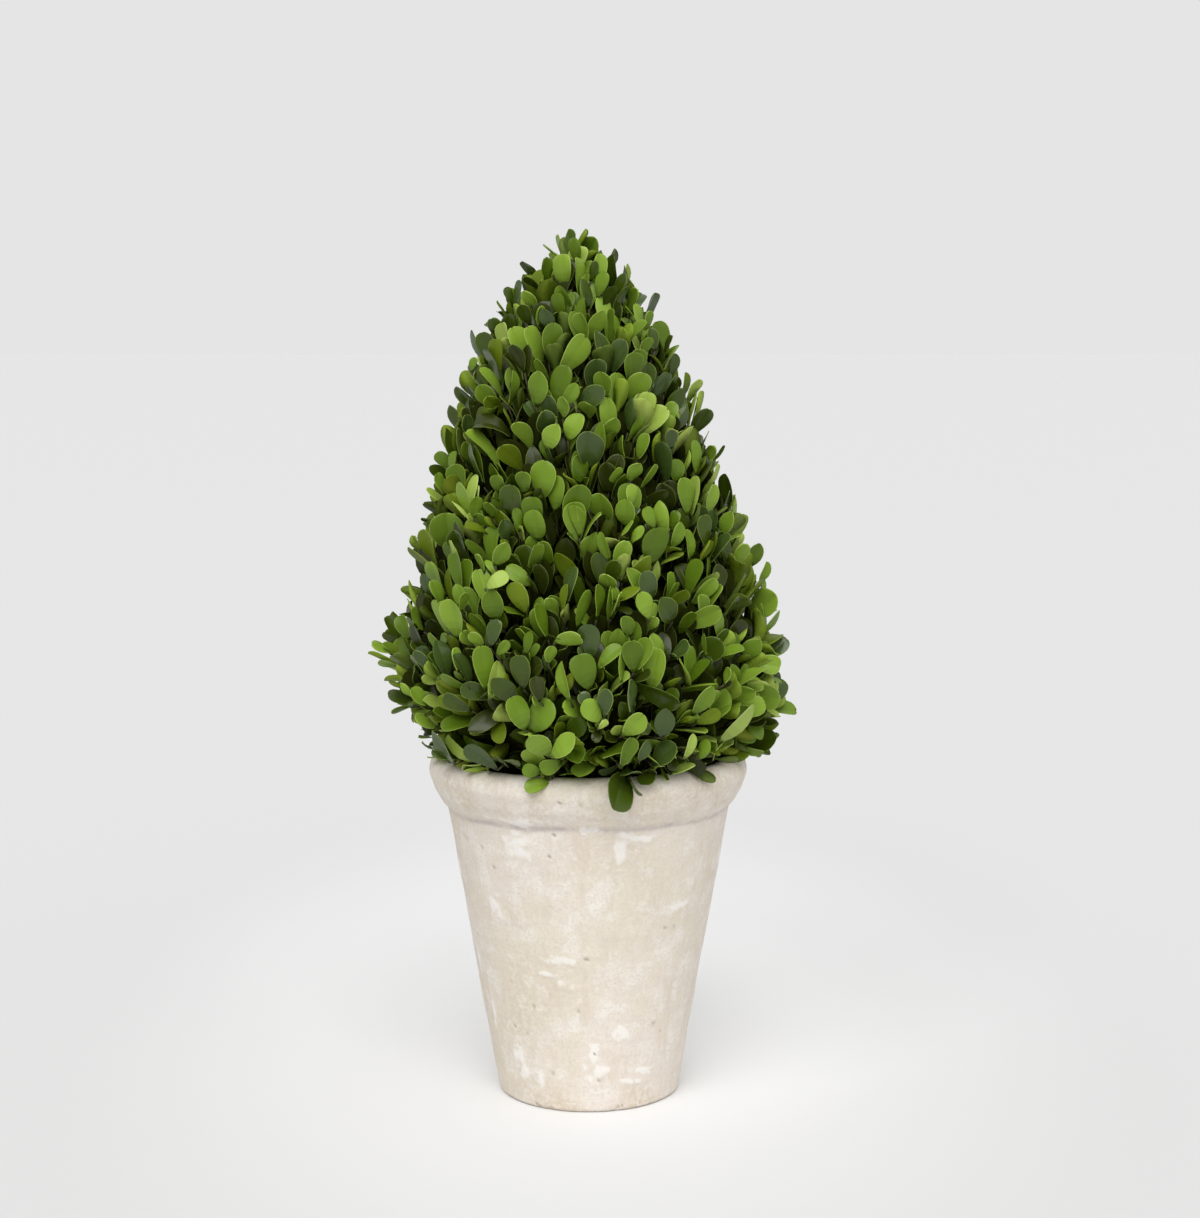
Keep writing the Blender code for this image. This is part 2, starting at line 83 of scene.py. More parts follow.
# ---- Fill and trunk, as in the source ----
CLEARANCE = 0.3 * MM
FILL_TOP = 149.0 * MM
FILL_EDGE_DROP = 2.0 * MM
TRUNK_RADIUS = 7.5 * MM
TRUNK_FLARE_RADIUS = 12.0 * MM
TRUNK_FLARE_HEIGHT = 11.0 * MM
TRUNK_TIP_RADIUS = 3.2 * MM
TRUNK_TOP = 352.0 * MM
LEAN_FOOT = FILL_TOP + TRUNK_FLARE_HEIGHT
LEAN = -7.0 * MM

# ---- Crown outline and cores, as in the source ----
CROWN_TOP = 407.0 * MM
CROWN_RADIUS = 95.0 * MM
WIDEST_HEIGHT = 205.0 * MM
CROWN_FOOT = 161.0 * MM
SHOULDER_POWER = 0.555
FOOT_TUCK = 0.17
CORE_DEPTH = 22.0 * MM
CORE_SHIFT = 7.7 * MM
CORE_MOUTH_RADIUS = 57.0 * MM
CORE_SHOULDER = POT_HEIGHT - 2.0 * MM
CORE_OVER_RIM = POT_HEIGHT + 4.0 * MM
CORE_FOOT = FILL_TOP + CLEARANCE
CORE_TOP = CROWN_TOP - 28.0 * MM
SKIRT = "foliage_skirt"
CONE = "foliage_cone"
FUNNEL_HEIGHT = 226.0 * MM
FUNNEL_SLOPE = 0.72
TWIG_RISE = (
    (161.0 * MM, -30.0),
    (170.0 * MM, -12.0),
    (180.0 * MM, 6.0),
    (195.0 * MM, 24.0),
    (215.0 * MM, 37.0),
    (260.0 * MM, 50.0),
    (330.0 * MM, 62.0),
    (385.0 * MM, 76.0),
    (407.0 * MM, 88.0),
)

# ---- Twigs, finer than the source's ----
TWIGS = 560
FILLERS = 420  # shorter twigs in the gaps
LOW_FILLERS = 90  # twigs that close over the core's foot
FILLER_PAIRS = 4
FILLER_SIZE = 0.95
FILLER_START = 1.3  # azimuth of the first
FILLER_DEPTH = 7.0 * MM
FILLER_RISE = math.radians(6.0)
# chance that a filler's leaves take a dark tint, as painted shade
FILLER_SHADE = 0.40
FILLER_WANDER = (-4.0 * MM, 2.0 * MM)
LOW_HEIGHTS = (166.0, 196.0)  # in mm
LOW_DEPTH = 9.0 * MM
# the same painted shade for the low fillers' leaves
LOW_SHADE = 0.45
RIM_TWIGS = 40  # a fringe over the pot's rim
RIM_JITTER = 0.3  # of the way to the next one
RIM_HEIGHTS = (155.0, 163.0)  # in mm
RIM_REACHES = (78.0, 84.0)  # in mm
RIM_RISES = (-36.0, -20.0)  # degrees
RIM_WANDER = (-1.0 * MM, 1.0 * MM)
RIM_SLACK = 4.0 * MM
STRAY_WANDER = (-1.0 * MM, 0.5 * MM)
STRAY_SLACK = 9.0 * MM
TWIG_SLACK = 2.0 * MM
TWIG_RADIUS = 0.75 * MM
TWIG_TIP_SHARE = 0.55
TWIG_SIDES = 6
TWIG_RINGS = 6
TWIG_COLOUR = (0.045, 0.042, 0.014)
TWIG_SUNK = 5.0 * MM
TWIG_WANDER = (-9.0 * MM, 2.0 * MM)
PROUD = 3.2 * MM
TUCKED = 2.5 * MM
LEFT_TUCK = 7.0 * MM
TWIG_TILT = math.radians(9.0)
TWIG_TURN = math.radians(16.0)
LONGEST_TWIG = 70.0 * MM
ROOT_STEP = 0.5 * MM
OUTLINE_STEPS = 400

# ---- Leaves: sizes before each leaf's own share, and the room they need ----
PAIRS = 5
PAIR_SPACING = 4.4 * MM
PAIR_STEP = 0.8 * MM
LEAF_LENGTH = 22.4 * MM
LEAF_WIDTH = 11.4 * MM
LEAF_THICKNESS = 0.5 * MM
LEAF_SPREAD = (11.0, 19.0, 24.0, 28.0, 32.0)
LEAF_LIFT = 0.62  # of a leaf above the widest height, towards straight up
LEAF_ROLL = 16.0  # degrees about its own length
LEAF_TRIES = 9
INNER_TRIES = 5
OUTER_PAIRS = 3  # pairs from a twig's tip that grow first; those below are inner leaves
# painted shade: under the outline, leaves between these depths turn to the darkest tints, more often the
# deeper they are
SHADED_DEPTHS = (7.0 * MM, 15.0 * MM)  # under the outline, where leaves turn dark
INNER_GAP = 3.4 * MM  # from the middle of an inner leaf to any other leaf's
LEAF_MARGIN = 0.36 * MM  # width of its pale edge
LIMB_MARGIN = 0.4 * MM  # between leaves and the pot or its fill
MOST_LEAVES = 1450  # in one piece, so that it stays under 200,000 triangles


# ---- Outlines as functions of height ----


def crown_radius(height):
    """The radius that the leaf tips reach."""
    if height >= CROWN_TOP:
        return 0.0
    if height >= WIDEST_HEIGHT:
        share = (height - WIDEST_HEIGHT) / (CROWN_TOP - WIDEST_HEIGHT)
        return CROWN_RADIUS * (1.0 - share) ** SHOULDER_POWER
    share = (WIDEST_HEIGHT - height) / (WIDEST_HEIGHT - CROWN_FOOT)
    return CROWN_RADIUS * (1.0 - FOOT_TUCK * share * share)


def core_radius(height):
    """The radius of the cores, skirt and cone alike."""
    if height > CORE_TOP:
        return 0.0
    if height < CORE_OVER_RIM:
        return CORE_MOUTH_RADIUS
    return max(0.0, crown_radius(height + CORE_SHIFT) - CORE_DEPTH)


def trunk_radius(height):
    up = height - FILL_TOP
    share = up / (TRUNK_TOP - FILL_TOP)
    straight = TRUNK_RADIUS + (TRUNK_TIP_RADIUS - TRUNK_RADIUS) * share
    if up >= TRUNK_FLARE_HEIGHT:
        return straight
    flare = (1.0 - up / TRUNK_FLARE_HEIGHT) ** 2
    return straight + (TRUNK_FLARE_RADIUS - TRUNK_RADIUS) * flare


def lean(height):
    """How far the trunk and the crown have moved along X."""
    return LEAN * max(0.0, height - LEAN_FOOT) / (CROWN_TOP - LEAN_FOOT)


def wall_radius(height):
    """The outer radius of the pot's tapering wall."""
    return FOOT_RADIUS + (NECK_RADIUS - FOOT_RADIUS) * height / NECK_HEIGHT


def twig_rise(height):
    """How steeply a twig with its tip at this height points up, in radians."""
    low_height, low_rise = TWIG_RISE[0]
    for high_height, high_rise in TWIG_RISE[1:]:
        if height <= high_height:
            share = max(0.0, (height - low_height) / (high_height - low_height))
            return math.radians(low_rise + (high_rise - low_rise) * share)
        low_height, low_rise = high_height, high_rise
    return math.radians(TWIG_RISE[-1][1])


def funnel_height(radius):
    """The height of the funnel between the skirt and the cone, at a radius."""
    return FUNNEL_HEIGHT - FUNNEL_SLOPE * (crown_radius(FUNNEL_HEIGHT) - radius)


def rim_top(radius):
    """The height of the rim's upper surface at a radius, over its lip or its roll."""
    if radius < RIM_CREST_RADIUS:
        drop, span = LIP_DROP, RIM_CREST_RADIUS - MOUTH_RADIUS
    else:
        drop, span = ROLL_DROP, RIM_RADIUS - RIM_CREST_RADIUS
    across = min(1.0, abs(radius - RIM_CREST_RADIUS) / span)
    return POT_HEIGHT - drop * (1.0 - math.sqrt(1.0 - across * across))


def smooth(low, high, value):
    share = min(1.0, max(0.0, (value - low) / (high - low)))
    return share * share * (3.0 - 2.0 * share)


# ---- Pixels of the photo ----


def pixel_ray(px, py):
    """The direction in which the camera sees a pixel of the photo."""
    right = (px - PHOTO_WIDTH / 2.0) / FOCAL_PIXELS
    up = (PHOTO_HEIGHT / 2.0 - py) / FOCAL_PIXELS
    cosine, sine = math.cos(CAMERA_PITCH), math.sin(CAMERA_PITCH)
    return Vector((right, cosine + up * sine, -sine + up * cosine)).normalized()


def project(point):
    """Where the camera sees a point of the crown before its lean: pixels across, down, and how far off."""
    offset = Vector((point[0] + lean(point[2]), point[1], point[2])) - CAMERA_PLACE
    cosine, sine = math.cos(CAMERA_PITCH), math.sin(CAMERA_PITCH)
    depth = offset.y * cosine - offset.z * sine
    up = offset.y * sine + offset.z * cosine
    across = PHOTO_WIDTH / 2.0 + FOCAL_PIXELS * offset.x / depth
    return across, PHOTO_HEIGHT / 2.0 - FOCAL_PIXELS * up / depth, depth


def seen_on(px, py, radius_at, shift_at):
    """Where a pixel's ray first comes inside a turned outline, or passes closest to it."""
    ray = pixel_ray(px, py)
    best, best_gap = None, math.inf
    for step in range(SIGHT_STEPS):
        point = CAMERA_PLACE + ray * (SIGHT_START + SIGHT_STEP * step)
        gap = math.hypot(point.x - shift_at(point.z), point.y) - radius_at(point.z)
        if gap < best_gap:
            best, best_gap = point, gap
        if gap <= 0.0:
            return point
    return best


# ---- Materials ----


def make_node(tree, kind, inputs=(), **settings):
    """A node with its settings, and its inputs as numbers or as sockets to link."""
    made = tree.nodes.new(kind)
    for name, value in settings.items():
        setattr(made, name, value)
    for name, value in inputs:
        if isinstance(value, bpy.types.NodeSocket):
            tree.links.new(value, made.inputs[name])
        else:
            made.inputs[name].default_value = value
    return made


def plain_material(name, colour, roughness, **more):
    """A principled material of plain values."""
    material = bpy.data.materials.new(name)
    material.use_nodes = True
    shader = material.node_tree.nodes["Principled BSDF"]
    shader.inputs["Base Color"].default_value = (*colour, 1.0)
    shader.inputs["Roughness"].default_value = roughness
    for key, value in more.items():
        shader.inputs[key.replace("_", " ")].default_value = value
    return material


def noise_at(tree, place, scale, detail=3.0, rough=0.55, stretch=None):
    """A noise value over the surface, its lumps 1 / scale metres across."""
    if stretch:
        mapping = make_node(tree, "ShaderNodeMapping", (("Vector", place), ("Scale", stretch)))
        place = mapping.outputs["Vector"]
    inputs = (("Vector", place), ("Scale", scale), ("Detail", detail), ("Roughness", rough))
    return make_node(tree, "ShaderNodeTexNoise", inputs).outputs["Fac"]


def ramp(tree, value, low, high):
    """0 below low, 1 above high, smooth between."""
    inputs = (("Value", value), ("From Min", low), ("From Max", high))
    made = make_node(tree, "ShaderNodeMapRange", inputs, interpolation_type="SMOOTHSTEP")
    return made.outputs["Result"]


def calc(tree, operation, first, second=0.0):
    made = make_node(tree, "ShaderNodeMath", ((0, first), (1, second)), operation=operation)
    return made.outputs["Value"]


def blend_colours(tree, factor, first, second):
    """The first colour at 0 and the second at 1; each is a colour or a socket."""
    made = tree.nodes.new("ShaderNodeMix")
    made.data_type = "RGBA"
    # the colour sockets of a Mix node share their names with the others, so they go by place
    for index, value in ((0, factor), (6, first), (7, second)):
        if isinstance(value, bpy.types.NodeSocket):
            tree.links.new(value, made.inputs[index])
        elif index == 0:
            made.inputs[index].default_value = value
        else:
            made.inputs[index].default_value = (*value, 1.0)
    return made.outputs[2]


def add_bump(tree, shader, height, strength, depth):
    inputs = (("Height", height), ("Strength", strength), ("Distance", depth))
    bump = make_node(tree, "ShaderNodeBump", inputs)
    tree.links.new(bump.outputs["Normal"], shader.inputs["Normal"])


def attribute(tree, name):
    return make_node(tree, "ShaderNodeAttribute", attribute_name=name).outputs["Fac"]


def pot_material():
    """Limewashed terracotta: mottled cream, white plaster left on it, tan stains, pits and a grey groove."""
    material = plain_material("limewashed_terracotta", (0.74, 0.68, 0.58), 0.85)
    tree = material.node_tree
    shader = tree.nodes["Principled BSDF"]
    place = make_node(tree, "ShaderNodeTexCoord").outputs["Object"]
    broad = noise_at(tree, place, 16.0, 3.0)
    cloud = noise_at(tree, place, 85.0, 8.0, 0.75)
    streak = noise_at(tree, place, 130.0, 6.0, 0.7, (1.0, 1.0, 0.22))
    brushed = noise_at(tree, place, 55.0, 6.0, 0.65, (1.0, 1.0, 6.0))
    grain = noise_at(tree, place, 420.0, 4.0, 0.65)
    fine = noise_at(tree, place, 800.0, 3.0, 0.6)
    speck = noise_at(tree, place, 1300.0, 2.0, 0.5)
    cream = blend_colours(tree, ramp(tree, broad, 0.38, 0.62), (0.715, 0.652, 0.545), (0.745, 0.672, 0.600))
    ragged = calc(tree, "ADD", calc(tree, "MULTIPLY", grain, 0.8), calc(tree, "MULTIPLY", fine, 0.7))
    ragged = calc(tree, "ADD", attribute(tree, "plaster"), ragged)
    for value, low, high, strength, colour in (  # each over the ones before it
        (cloud, 0.47, 0.60, 0.80, (0.800, 0.752, 0.690)),  # paler clouds
        (streak, 0.50, 0.64, 0.50, (0.650, 0.568, 0.465)),  # tan runs
        (brushed, 0.49, 0.63, 0.32, (0.655, 0.595, 0.530)),  # brush strokes
        (grain, 0.38, 0.60, attribute(tree, "stain"), (0.560, 0.465, 0.330)),
        (fine, 0.48, 0.62, 0.42, (0.620, 0.550, 0.455)),  # sand in the clay
        (cloud, 0.38, 0.60, attribute(tree, "groove"), (0.555, 0.485, 0.460)),
        (ragged, 1.05, 1.60, 0.70, (0.850, 0.832, 0.795)),  # plaster
    ):
        share = calc(tree, "MULTIPLY", ramp(tree, value, low, high), strength)
        cream = blend_colours(tree, share, cream, colour)
    pits = ramp(tree, calc(tree, "SUBTRACT", speck, calc(tree, "MULTIPLY", cloud, 0.25)), 0.60, 0.66)
    dark = calc(tree, "MAXIMUM", attribute(tree, "pit"), calc(tree, "MULTIPLY", pits, 0.5))
    cream = blend_colours(tree, dark, cream, (0.360, 0.300, 0.230))
    tree.links.new(cream, shader.inputs["Base Color"])
    height = calc(tree, "ADD", grain, calc(tree, "MULTIPLY", cloud, 0.8))
    height = calc(tree, "SUBTRACT", height, calc(tree, "MULTIPLY", dark, 1.2))
    add_bump(tree, shader, height, 0.35, 0.5 * MM)
    return material


def rough_material(name, dark, light, scale, roughness, depth, stretch=None, gloss=0.3):
    """A dark, crumbly surface of two colours, such as bark, soil or moss."""
    material = plain_material(name, dark, roughness, Specular_IOR_Level=gloss)
    tree = material.node_tree
    shader = tree.nodes["Principled BSDF"]
    place = make_node(tree, "ShaderNodeTexCoord").outputs["Object"]
    lumps = noise_at(tree, place, scale, 5.0, 0.65, stretch)
    colour = blend_colours(tree, ramp(tree, lumps, 0.35, 0.68), dark, light)
    tree.links.new(colour, shader.inputs["Base Color"])
    add_bump(tree, shader, lumps, 0.6, depth)
    return material


# ---- Meshes ----


def new_object(name, points, faces, materials, slots=None, smooth_faces=True):
    mesh = bpy.data.meshes.new(name)
    mesh.from_pydata(points, [], faces)
    for material in materials:
        mesh.materials.append(material)
    if slots is not None:
        mesh.polygons.foreach_set("material_index", slots)
    mesh.polygons.foreach_set("use_smooth", [smooth_faces] * len(mesh.polygons))
    mesh.update()
    made = bpy.data.objects.new(name, mesh)
    bpy.context.scene.collection.objects.link(made)
    return made


def turned(outline, sides, closed=False):
    """Points and faces of a form turned about Z; an open outline starts and ends on the axis."""
    points, rings = [], []
    for radius, height in outline:
        if radius < 1e-7:
            rings.append([len(points)])
            points.append((0.0, 0.0, height))
            continue
        rings.append(list(range(len(points), len(points) + sides)))
        for side in range(sides):
            angle = 2.0 * math.pi * side / sides
            points.append((radius * math.cos(angle), radius * math.sin(angle), height))
    faces = []
    pairs = list(zip(rings, rings[1:]))
    if closed:
        pairs.append((rings[-1], rings[0]))
    for first, second in pairs:
        for side in range(sides):
            after = (side + 1) % sides
            if len(first) == 1:
                faces.append((first[0], second[side], second[after]))
            elif len(second) == 1:
                faces.append((first[side], second[0], first[after]))
            else:
                faces.append((first[side], second[side], second[after], first[after]))
    return points, faces


def line(start, end, step):
    """Points from start up to but without end, no more than a step apart."""
    parts = max(1, math.ceil(math.dist(start, end) / step))
    found = []
    for part in range(parts):
        share = part / parts
        found.append((start[0] + (end[0] - start[0]) * share, start[1] + (end[1] - start[1]) * share))
    return found


def arc(centre, radii, start, end, steps):
    points = []
    for step in range(steps + 1):
        angle = math.radians(start + (end - start) * step / steps)
        points.append((centre[0] + radii[0] * math.cos(angle), centre[1] + radii[1] * math.sin(angle)))
    return points


def add_values(obj, name, values):
    """Stores one number for each point, which a material reads by name."""
    layer = obj.data.attributes.new(name, "FLOAT", "POINT")
    layer.data.foreach_set("value", values)


# ---- Pot ----

POT_SIDES = 300
POT_STEP = 1.25 * MM
BACK_TURNS = (-10.0, 190.0)  # degrees, about the half of the pot that the photo doesn't show
BACK_PATCHES = 46
BACK_PITS = 60
WOBBLE = 0.45 * MM  # how far the pot's surface moves in or out, from its broadest unevenness to its finest
LUMPS = 0.22 * MM
THROWING_RINGS = 0.10 * MM
PLASTER_PROUD = 0.28 * MM
PIT_DEPTH = 0.55 * MM
CHIP_DEPTH = 0.9 * MM  # at the edge of its foot
SEAM_WOBBLE = 1.3 * MM  # up and down, under the rim
# What shows on the pot's front in the photo: pixel across and down, half width and half height in pixels.
PLASTER = (
    (526, 824, 12, 5), (508, 820, 9, 3), (587, 832, 8, 5), (624, 835, 7, 5), (621, 851, 6, 11),
    (642, 838, 16, 3), (517, 846, 14, 13), (494, 903, 7, 10), (500, 912, 4, 8), (562, 961, 14, 4),
    (547, 974, 11, 2.5), (562, 983, 4, 6), (520, 1056, 7, 14), (525, 1070, 6, 10), (541, 1074, 5, 11),
    (594, 1056, 5, 12), (598, 1072, 10, 9), (622, 1033, 11, 7), (646, 1069, 11, 5), (630, 1081, 12, 3.5),
    (495, 1014, 3, 18), (480, 960, 3, 14), (680, 905, 10, 4),
)
PITS = (
    (534, 1007), (515, 1026), (527, 1033), (512, 982), (587, 960), (578, 1011), (654, 1024), (661, 1030),
    (595, 1054), (599, 1080), (553, 1073), (617, 884), (665, 928), (674, 927), (554, 836), (549, 857),
    (494, 868), (482, 848), (467, 838), (560, 803), (478, 934), (586, 959), (464, 799), (580, 805),
    (618, 1107), (622, 1106), (536, 1104), (540, 1106), (553, 909),
)


def pot_outline():
    """The pot's section, from the middle of its floor up its inside, over the rim and down to its foot."""
    floor_radius = wall_radius(FLOOR) - WALL
    lip_radii = (RIM_CREST_RADIUS - MOUTH_RADIUS, LIP_DROP)
    lip = arc((RIM_CREST_RADIUS, POT_HEIGHT - LIP_DROP), lip_radii, 180.0, 95.0, 8)
    roll_radii = (RIM_RADIUS - RIM_CREST_RADIUS, ROLL_DROP)
    roll = arc((RIM_CREST_RADIUS, POT_HEIGHT - ROLL_DROP), roll_radii, 88.0, -12.0, 14)
    under = [(NECK_RADIUS + out, NECK_HEIGHT + up) for out, up in UNDER_ROLL]
    foot_middle = (wall_radius(FOOT_ROUNDING) - FOOT_ROUNDING, FOOT_ROUNDING)
    foot = arc(foot_middle, (FOOT_ROUNDING, FOOT_ROUNDING), 0.0, -90.0, 6)
    neck_inside = (NECK_RADIUS - WALL, NECK_HEIGHT)
    corner = (floor_radius, FLOOR + INNER_CORNER)
    outline = [(0.0, FLOOR), (floor_radius - INNER_CORNER, FLOOR)]
    outline += line(corner, neck_inside, 20.0 * MM)
    outline += line(neck_inside, lip[0], 3.0 * MM)
    outline += lip + roll
    outline += line(roll[-1], under[0], POT_STEP)[1:]
    outline += line(under[0], under[1], POT_STEP)
    outline += line(under[1], under[2], POT_STEP)
    outline += line(under[2], foot[0], POT_STEP)
    outline += foot + [(0.5 * foot[-1][0], 0.0), (0.0, 0.0)]
    return outline


def pot_radius(height):
    """Roughly the radius of the pot's outside, for placing marks on it."""
    if height > NECK_HEIGHT + UNDER_ROLL[0][1]:
        return RIM_RADIUS
    if height > NECK_HEIGHT:
        return NECK_RADIUS + 2.0 * MM
    return wall_radius(max(0.0, height))


def no_shift(height):
    return 0.0


def marks_on_pot():
    """Plaster patches as (angle, height, half width, half height), and pits as (angle, height)."""
    chance = random.Random(SEED)
    patches, pits = [], []
    for px, py, wide, high in PLASTER:
        place = seen_on(px, py, pot_radius, no_shift)
        size = POT_DISTANCE / FOCAL_PIXELS * MM
        patches.append((math.atan2(place.y, place.x), place.z, wide * size, high * size))
    for px, py in PITS:
        place = seen_on(px, py, pot_radius, no_shift)
        pits.append((math.atan2(place.y, place.x), place.z, chance.uniform(0.5, 0.8) * MM))
    for _ in range(BACK_PATCHES):
        turn = math.radians(chance.uniform(*BACK_TURNS))
        height = chance.uniform(4.0, 134.0) * MM
        patches.append((turn, height, chance.uniform(1.5, 7.0) * MM, chance.uniform(1.2, 6.0) * MM))
    for _ in range(BACK_PITS):
        turn = math.radians(chance.uniform(*BACK_TURNS))
        pits.append((turn, chance.uniform(3.0, 160.0) * MM, chance.uniform(0.45, 0.8) * MM))
    return patches, pits


def round_the_pot(angle, turn):
    """How far angles are from a mark's, the shorter way round."""
    return (angle - turn + math.pi) % (2.0 * math.pi) - math.pi


def build_pot():
    points, faces = turned(pot_outline(), POT_SIDES)
    patches, pits = marks_on_pot()
    places = np.array(points)
    angle = np.arctan2(places[:, 1], places[:, 0])
    radius = np.hypot(places[:, 0], places[:, 1])
    height = places[:, 2]
    outside = radius > np.array([wall_radius(min(z, NECK_HEIGHT)) - 3.0 * MM for z in height])
    outside &= ~((radius < RIM_CREST_RADIUS) & (height > NECK_HEIGHT + 5.0 * MM))
    fuzz = np.array([noise.fractal(Vector(p) * 260.0, 0.7, 2.1, 4) for p in points])
    plaster = np.zeros(len(points))
    for turn, up, wide, high in patches:
        around = round_the_pot(angle, turn)
        far = np.hypot(around * radius / wide, (height - up) / high) + 0.9 * fuzz
        plaster = np.maximum(plaster, np.clip((1.6 - far) / 1.3, 0.0, 1.0))
    pit = np.zeros(len(points))
    for turn, up, size in pits:
        far = np.hypot(round_the_pot(angle, turn) * radius, height - up) / size
        pit = np.maximum(pit, np.clip(1.4 - far, 0.0, 1.0))
    plaster *= outside
    pit *= outside
    under_rim = np.exp(-(((height - NECK_HEIGHT - 1.2 * MM) / (1.5 * MM)) ** 2)) * outside
    rim = (height > NECK_HEIGHT + 6.0 * MM) * outside
    stain = np.zeros(len(points))
    moved = []
    for index, point in enumerate(points):
        place = Vector(point)
        broad = noise.noise(place * 22.0 + Vector((3.1, 0.0, 0.0)))
        stain[index] = smooth(0.05, 0.5, broad) * 0.28
        yellower = smooth(-0.01, -0.045, place.x) * smooth(0.03, 0.0, place.y)
        stain[index] += 0.20 * yellower * smooth(-0.3, 0.3, noise.noise(place * 60.0))
        if rim[index]:
            stain[index] = smooth(-0.35, 0.45, noise.noise(place * 70.0)) * 0.42
        foot = smooth(0.02, 0.0, place.z) * smooth(-0.2, 0.4, noise.noise(place * 45.0))
        stain[index] = max(stain[index], 0.7 * foot)
        if not outside[index] and place.z < NECK_HEIGHT:
            moved.append(point)
            continue
        wobble = WOBBLE * noise.noise(place * 14.0)
        near_seam = smooth(14.0 * MM, 6.0 * MM, abs(place.z - NECK_HEIGHT - 2.0 * MM)) * outside[index]
        place.z += SEAM_WOBBLE * near_seam * noise.noise(Vector((place.x * 40.0, place.y * 40.0, 0.0)))
        lumps = LUMPS * noise.fractal(place * 60.0, 0.8, 2.0, 3)
        rings = Vector((place.x * 6.0, place.y * 6.0, place.z * 330.0))
        thrown = THROWING_RINGS * noise.noise(rings) * smooth(-0.3, 0.4, noise.noise(place * 18.0))
        out = wobble + lumps + thrown + PLASTER_PROUD * plaster[index] - PIT_DEPTH * pit[index]
        chips = smooth(0.28, 0.5, noise.noise(place * 120.0)) * smooth(4.5 * MM, 1.0 * MM, place.z)
        out -= CHIP_DEPTH * chips * outside[index]
        level = Vector((place.x, place.y, 0.0))
        if level.length < 1e-6 or place.z < 0.05 * MM:
            moved.append(point)
            continue
        moved.append(tuple(place + level.normalized() * out))
    pot = new_object("pot_limewashed", moved, faces, [pot_material()])
    add_values(pot, "plaster", plaster)
    add_values(pot, "pit", pit)
    add_values(pot, "stain", stain)
    add_values(pot, "groove", under_rim)
    return pot


# ---- Fill and trunk ----


FILL_SIDES = 160
FILL_STEP = 1.5 * MM
FILL_WIDENING = 1.4 * MM  # of its top edge over the neck's inside, which leaves 0.45 mm to the wall
FILL_GAP = 0.5 * MM  # to the wall from the neck down
FILL_LUMPS = 1.1 * MM
SOIL_COLOURS = ((0.028, 0.020, 0.011), (0.085, 0.075, 0.035))
TRUNK_SIDES = 56
TRUNK_RINGS = 150
BARK_PROUD = 0.5 * MM
BARK_DEPTH = 1.5 * MM
BARK_COLOURS = ((0.06, 0.040, 0.024), (0.20, 0.145, 0.090))


def build_fill():
    """Lumpy soil and moss, filling the pot to under its rim."""
    neck_inside = NECK_RADIUS - WALL
    floor_radius = wall_radius(FLOOR) - WALL
    edge = neck_inside + FILL_WIDENING
    outline = [(0.0, FILL_TOP)]
    outline += line((FILL_STEP, FILL_TOP), (edge, FILL_TOP - FILL_EDGE_DROP), FILL_STEP)
    outline += [
        (edge, FILL_TOP - FILL_EDGE_DROP),
        (neck_inside - FILL_GAP, NECK_HEIGHT),
        (floor_radius - FILL_GAP, FLOOR + INNER_CORNER + CLEARANCE),
        (floor_radius - INNER_CORNER - FILL_GAP, FLOOR + CLEARANCE),
        (0.0, FLOOR + CLEARANCE),
    ]
    points, faces = turned(outline, FILL_SIDES)
    moved = []
    for point in points:
        place = Vector(point)
        if place.z > FILL_TOP - FILL_EDGE_DROP - 0.1 * MM:
            place.z += FILL_LUMPS * (noise.fractal(place * 160.0, 0.6, 2.1, 4) - 0.4)
        moved.append(tuple(place))
    return new_object("soil", moved, faces, [rough_material("soil", *SOIL_COLOURS, 240.0, 0.95, 1.0 * MM)])


def build_trunk():
    """The stem, with furrowed bark."""
    foot = FILL_TOP + CLEARANCE
    outline = [(0.0, TRUNK_TOP)]
    for step in range(TRUNK_RINGS + 1):
        height = TRUNK_TOP + (foot - TRUNK_TOP) * step / TRUNK_RINGS
        outline.append((trunk_radius(height), height))
    outline.append((0.0, foot))
    points, faces = turned(outline, TRUNK_SIDES)
    moved = []
    for point in points:
        place = Vector(point)
        level = Vector((place.x, place.y, 0.0))
        if level.length > 1e-6:
            grain = Vector((place.x * 420.0, place.y * 420.0, place.z * 60.0))
            ridge = abs(noise.fractal(grain, 0.8, 2.0, 3))
            place += level.normalized() * (BARK_PROUD - BARK_DEPTH * ridge)
        place.x += lean(place.z)
        moved.append(tuple(place))
    bark = rough_material("bark", *BARK_COLOURS, 300.0, 0.9, 0.8 * MM, (1.0, 1.0, 0.2))
    return new_object("trunk_bark", moved, faces, [bark])


# ---- Cores ----


CORE_SIDES = 110
CORE_STEP = 2.0 * MM
CORE_SLIMMER = 3.0 * MM  # than the source's
CORE_NARROWEST = 2.0 * MM
CORE_BEVEL = 2.0 * MM
CORE_BORE = 2.0 * MM  # from the trunk to a core
CORE_RAISED = 1.0 * MM  # foot of the skirt's core over the source's
CORE_PLAIN = 6.0 * MM  # round the trunk, where a core stays smooth
CORE_LUMPS = 2.2  # in mm
# moss, made near black as painted shade of the crown's inside
MOSS_AND_SHADE_COLOURS = ((0.008, 0.007, 0.002), (0.026, 0.024, 0.006))


def seam_height():
    """The height at which the funnel meets the side of the cores."""
    low, high = CORE_OVER_RIM, CORE_TOP
    while high - low > 0.01 * MM:
        middle = 0.5 * (low + high)
        if middle < funnel_height(core_radius(middle)):
            low = middle
        else:
            high = middle
    return low


def core_side(low, high):
    parts = math.ceil((high - low) / CORE_STEP)
    heights = [low + (high - low) * part / parts for part in range(parts + 1)]
    return [(max(CORE_NARROWEST, core_radius(height) - CORE_SLIMMER), height) for height in heights]


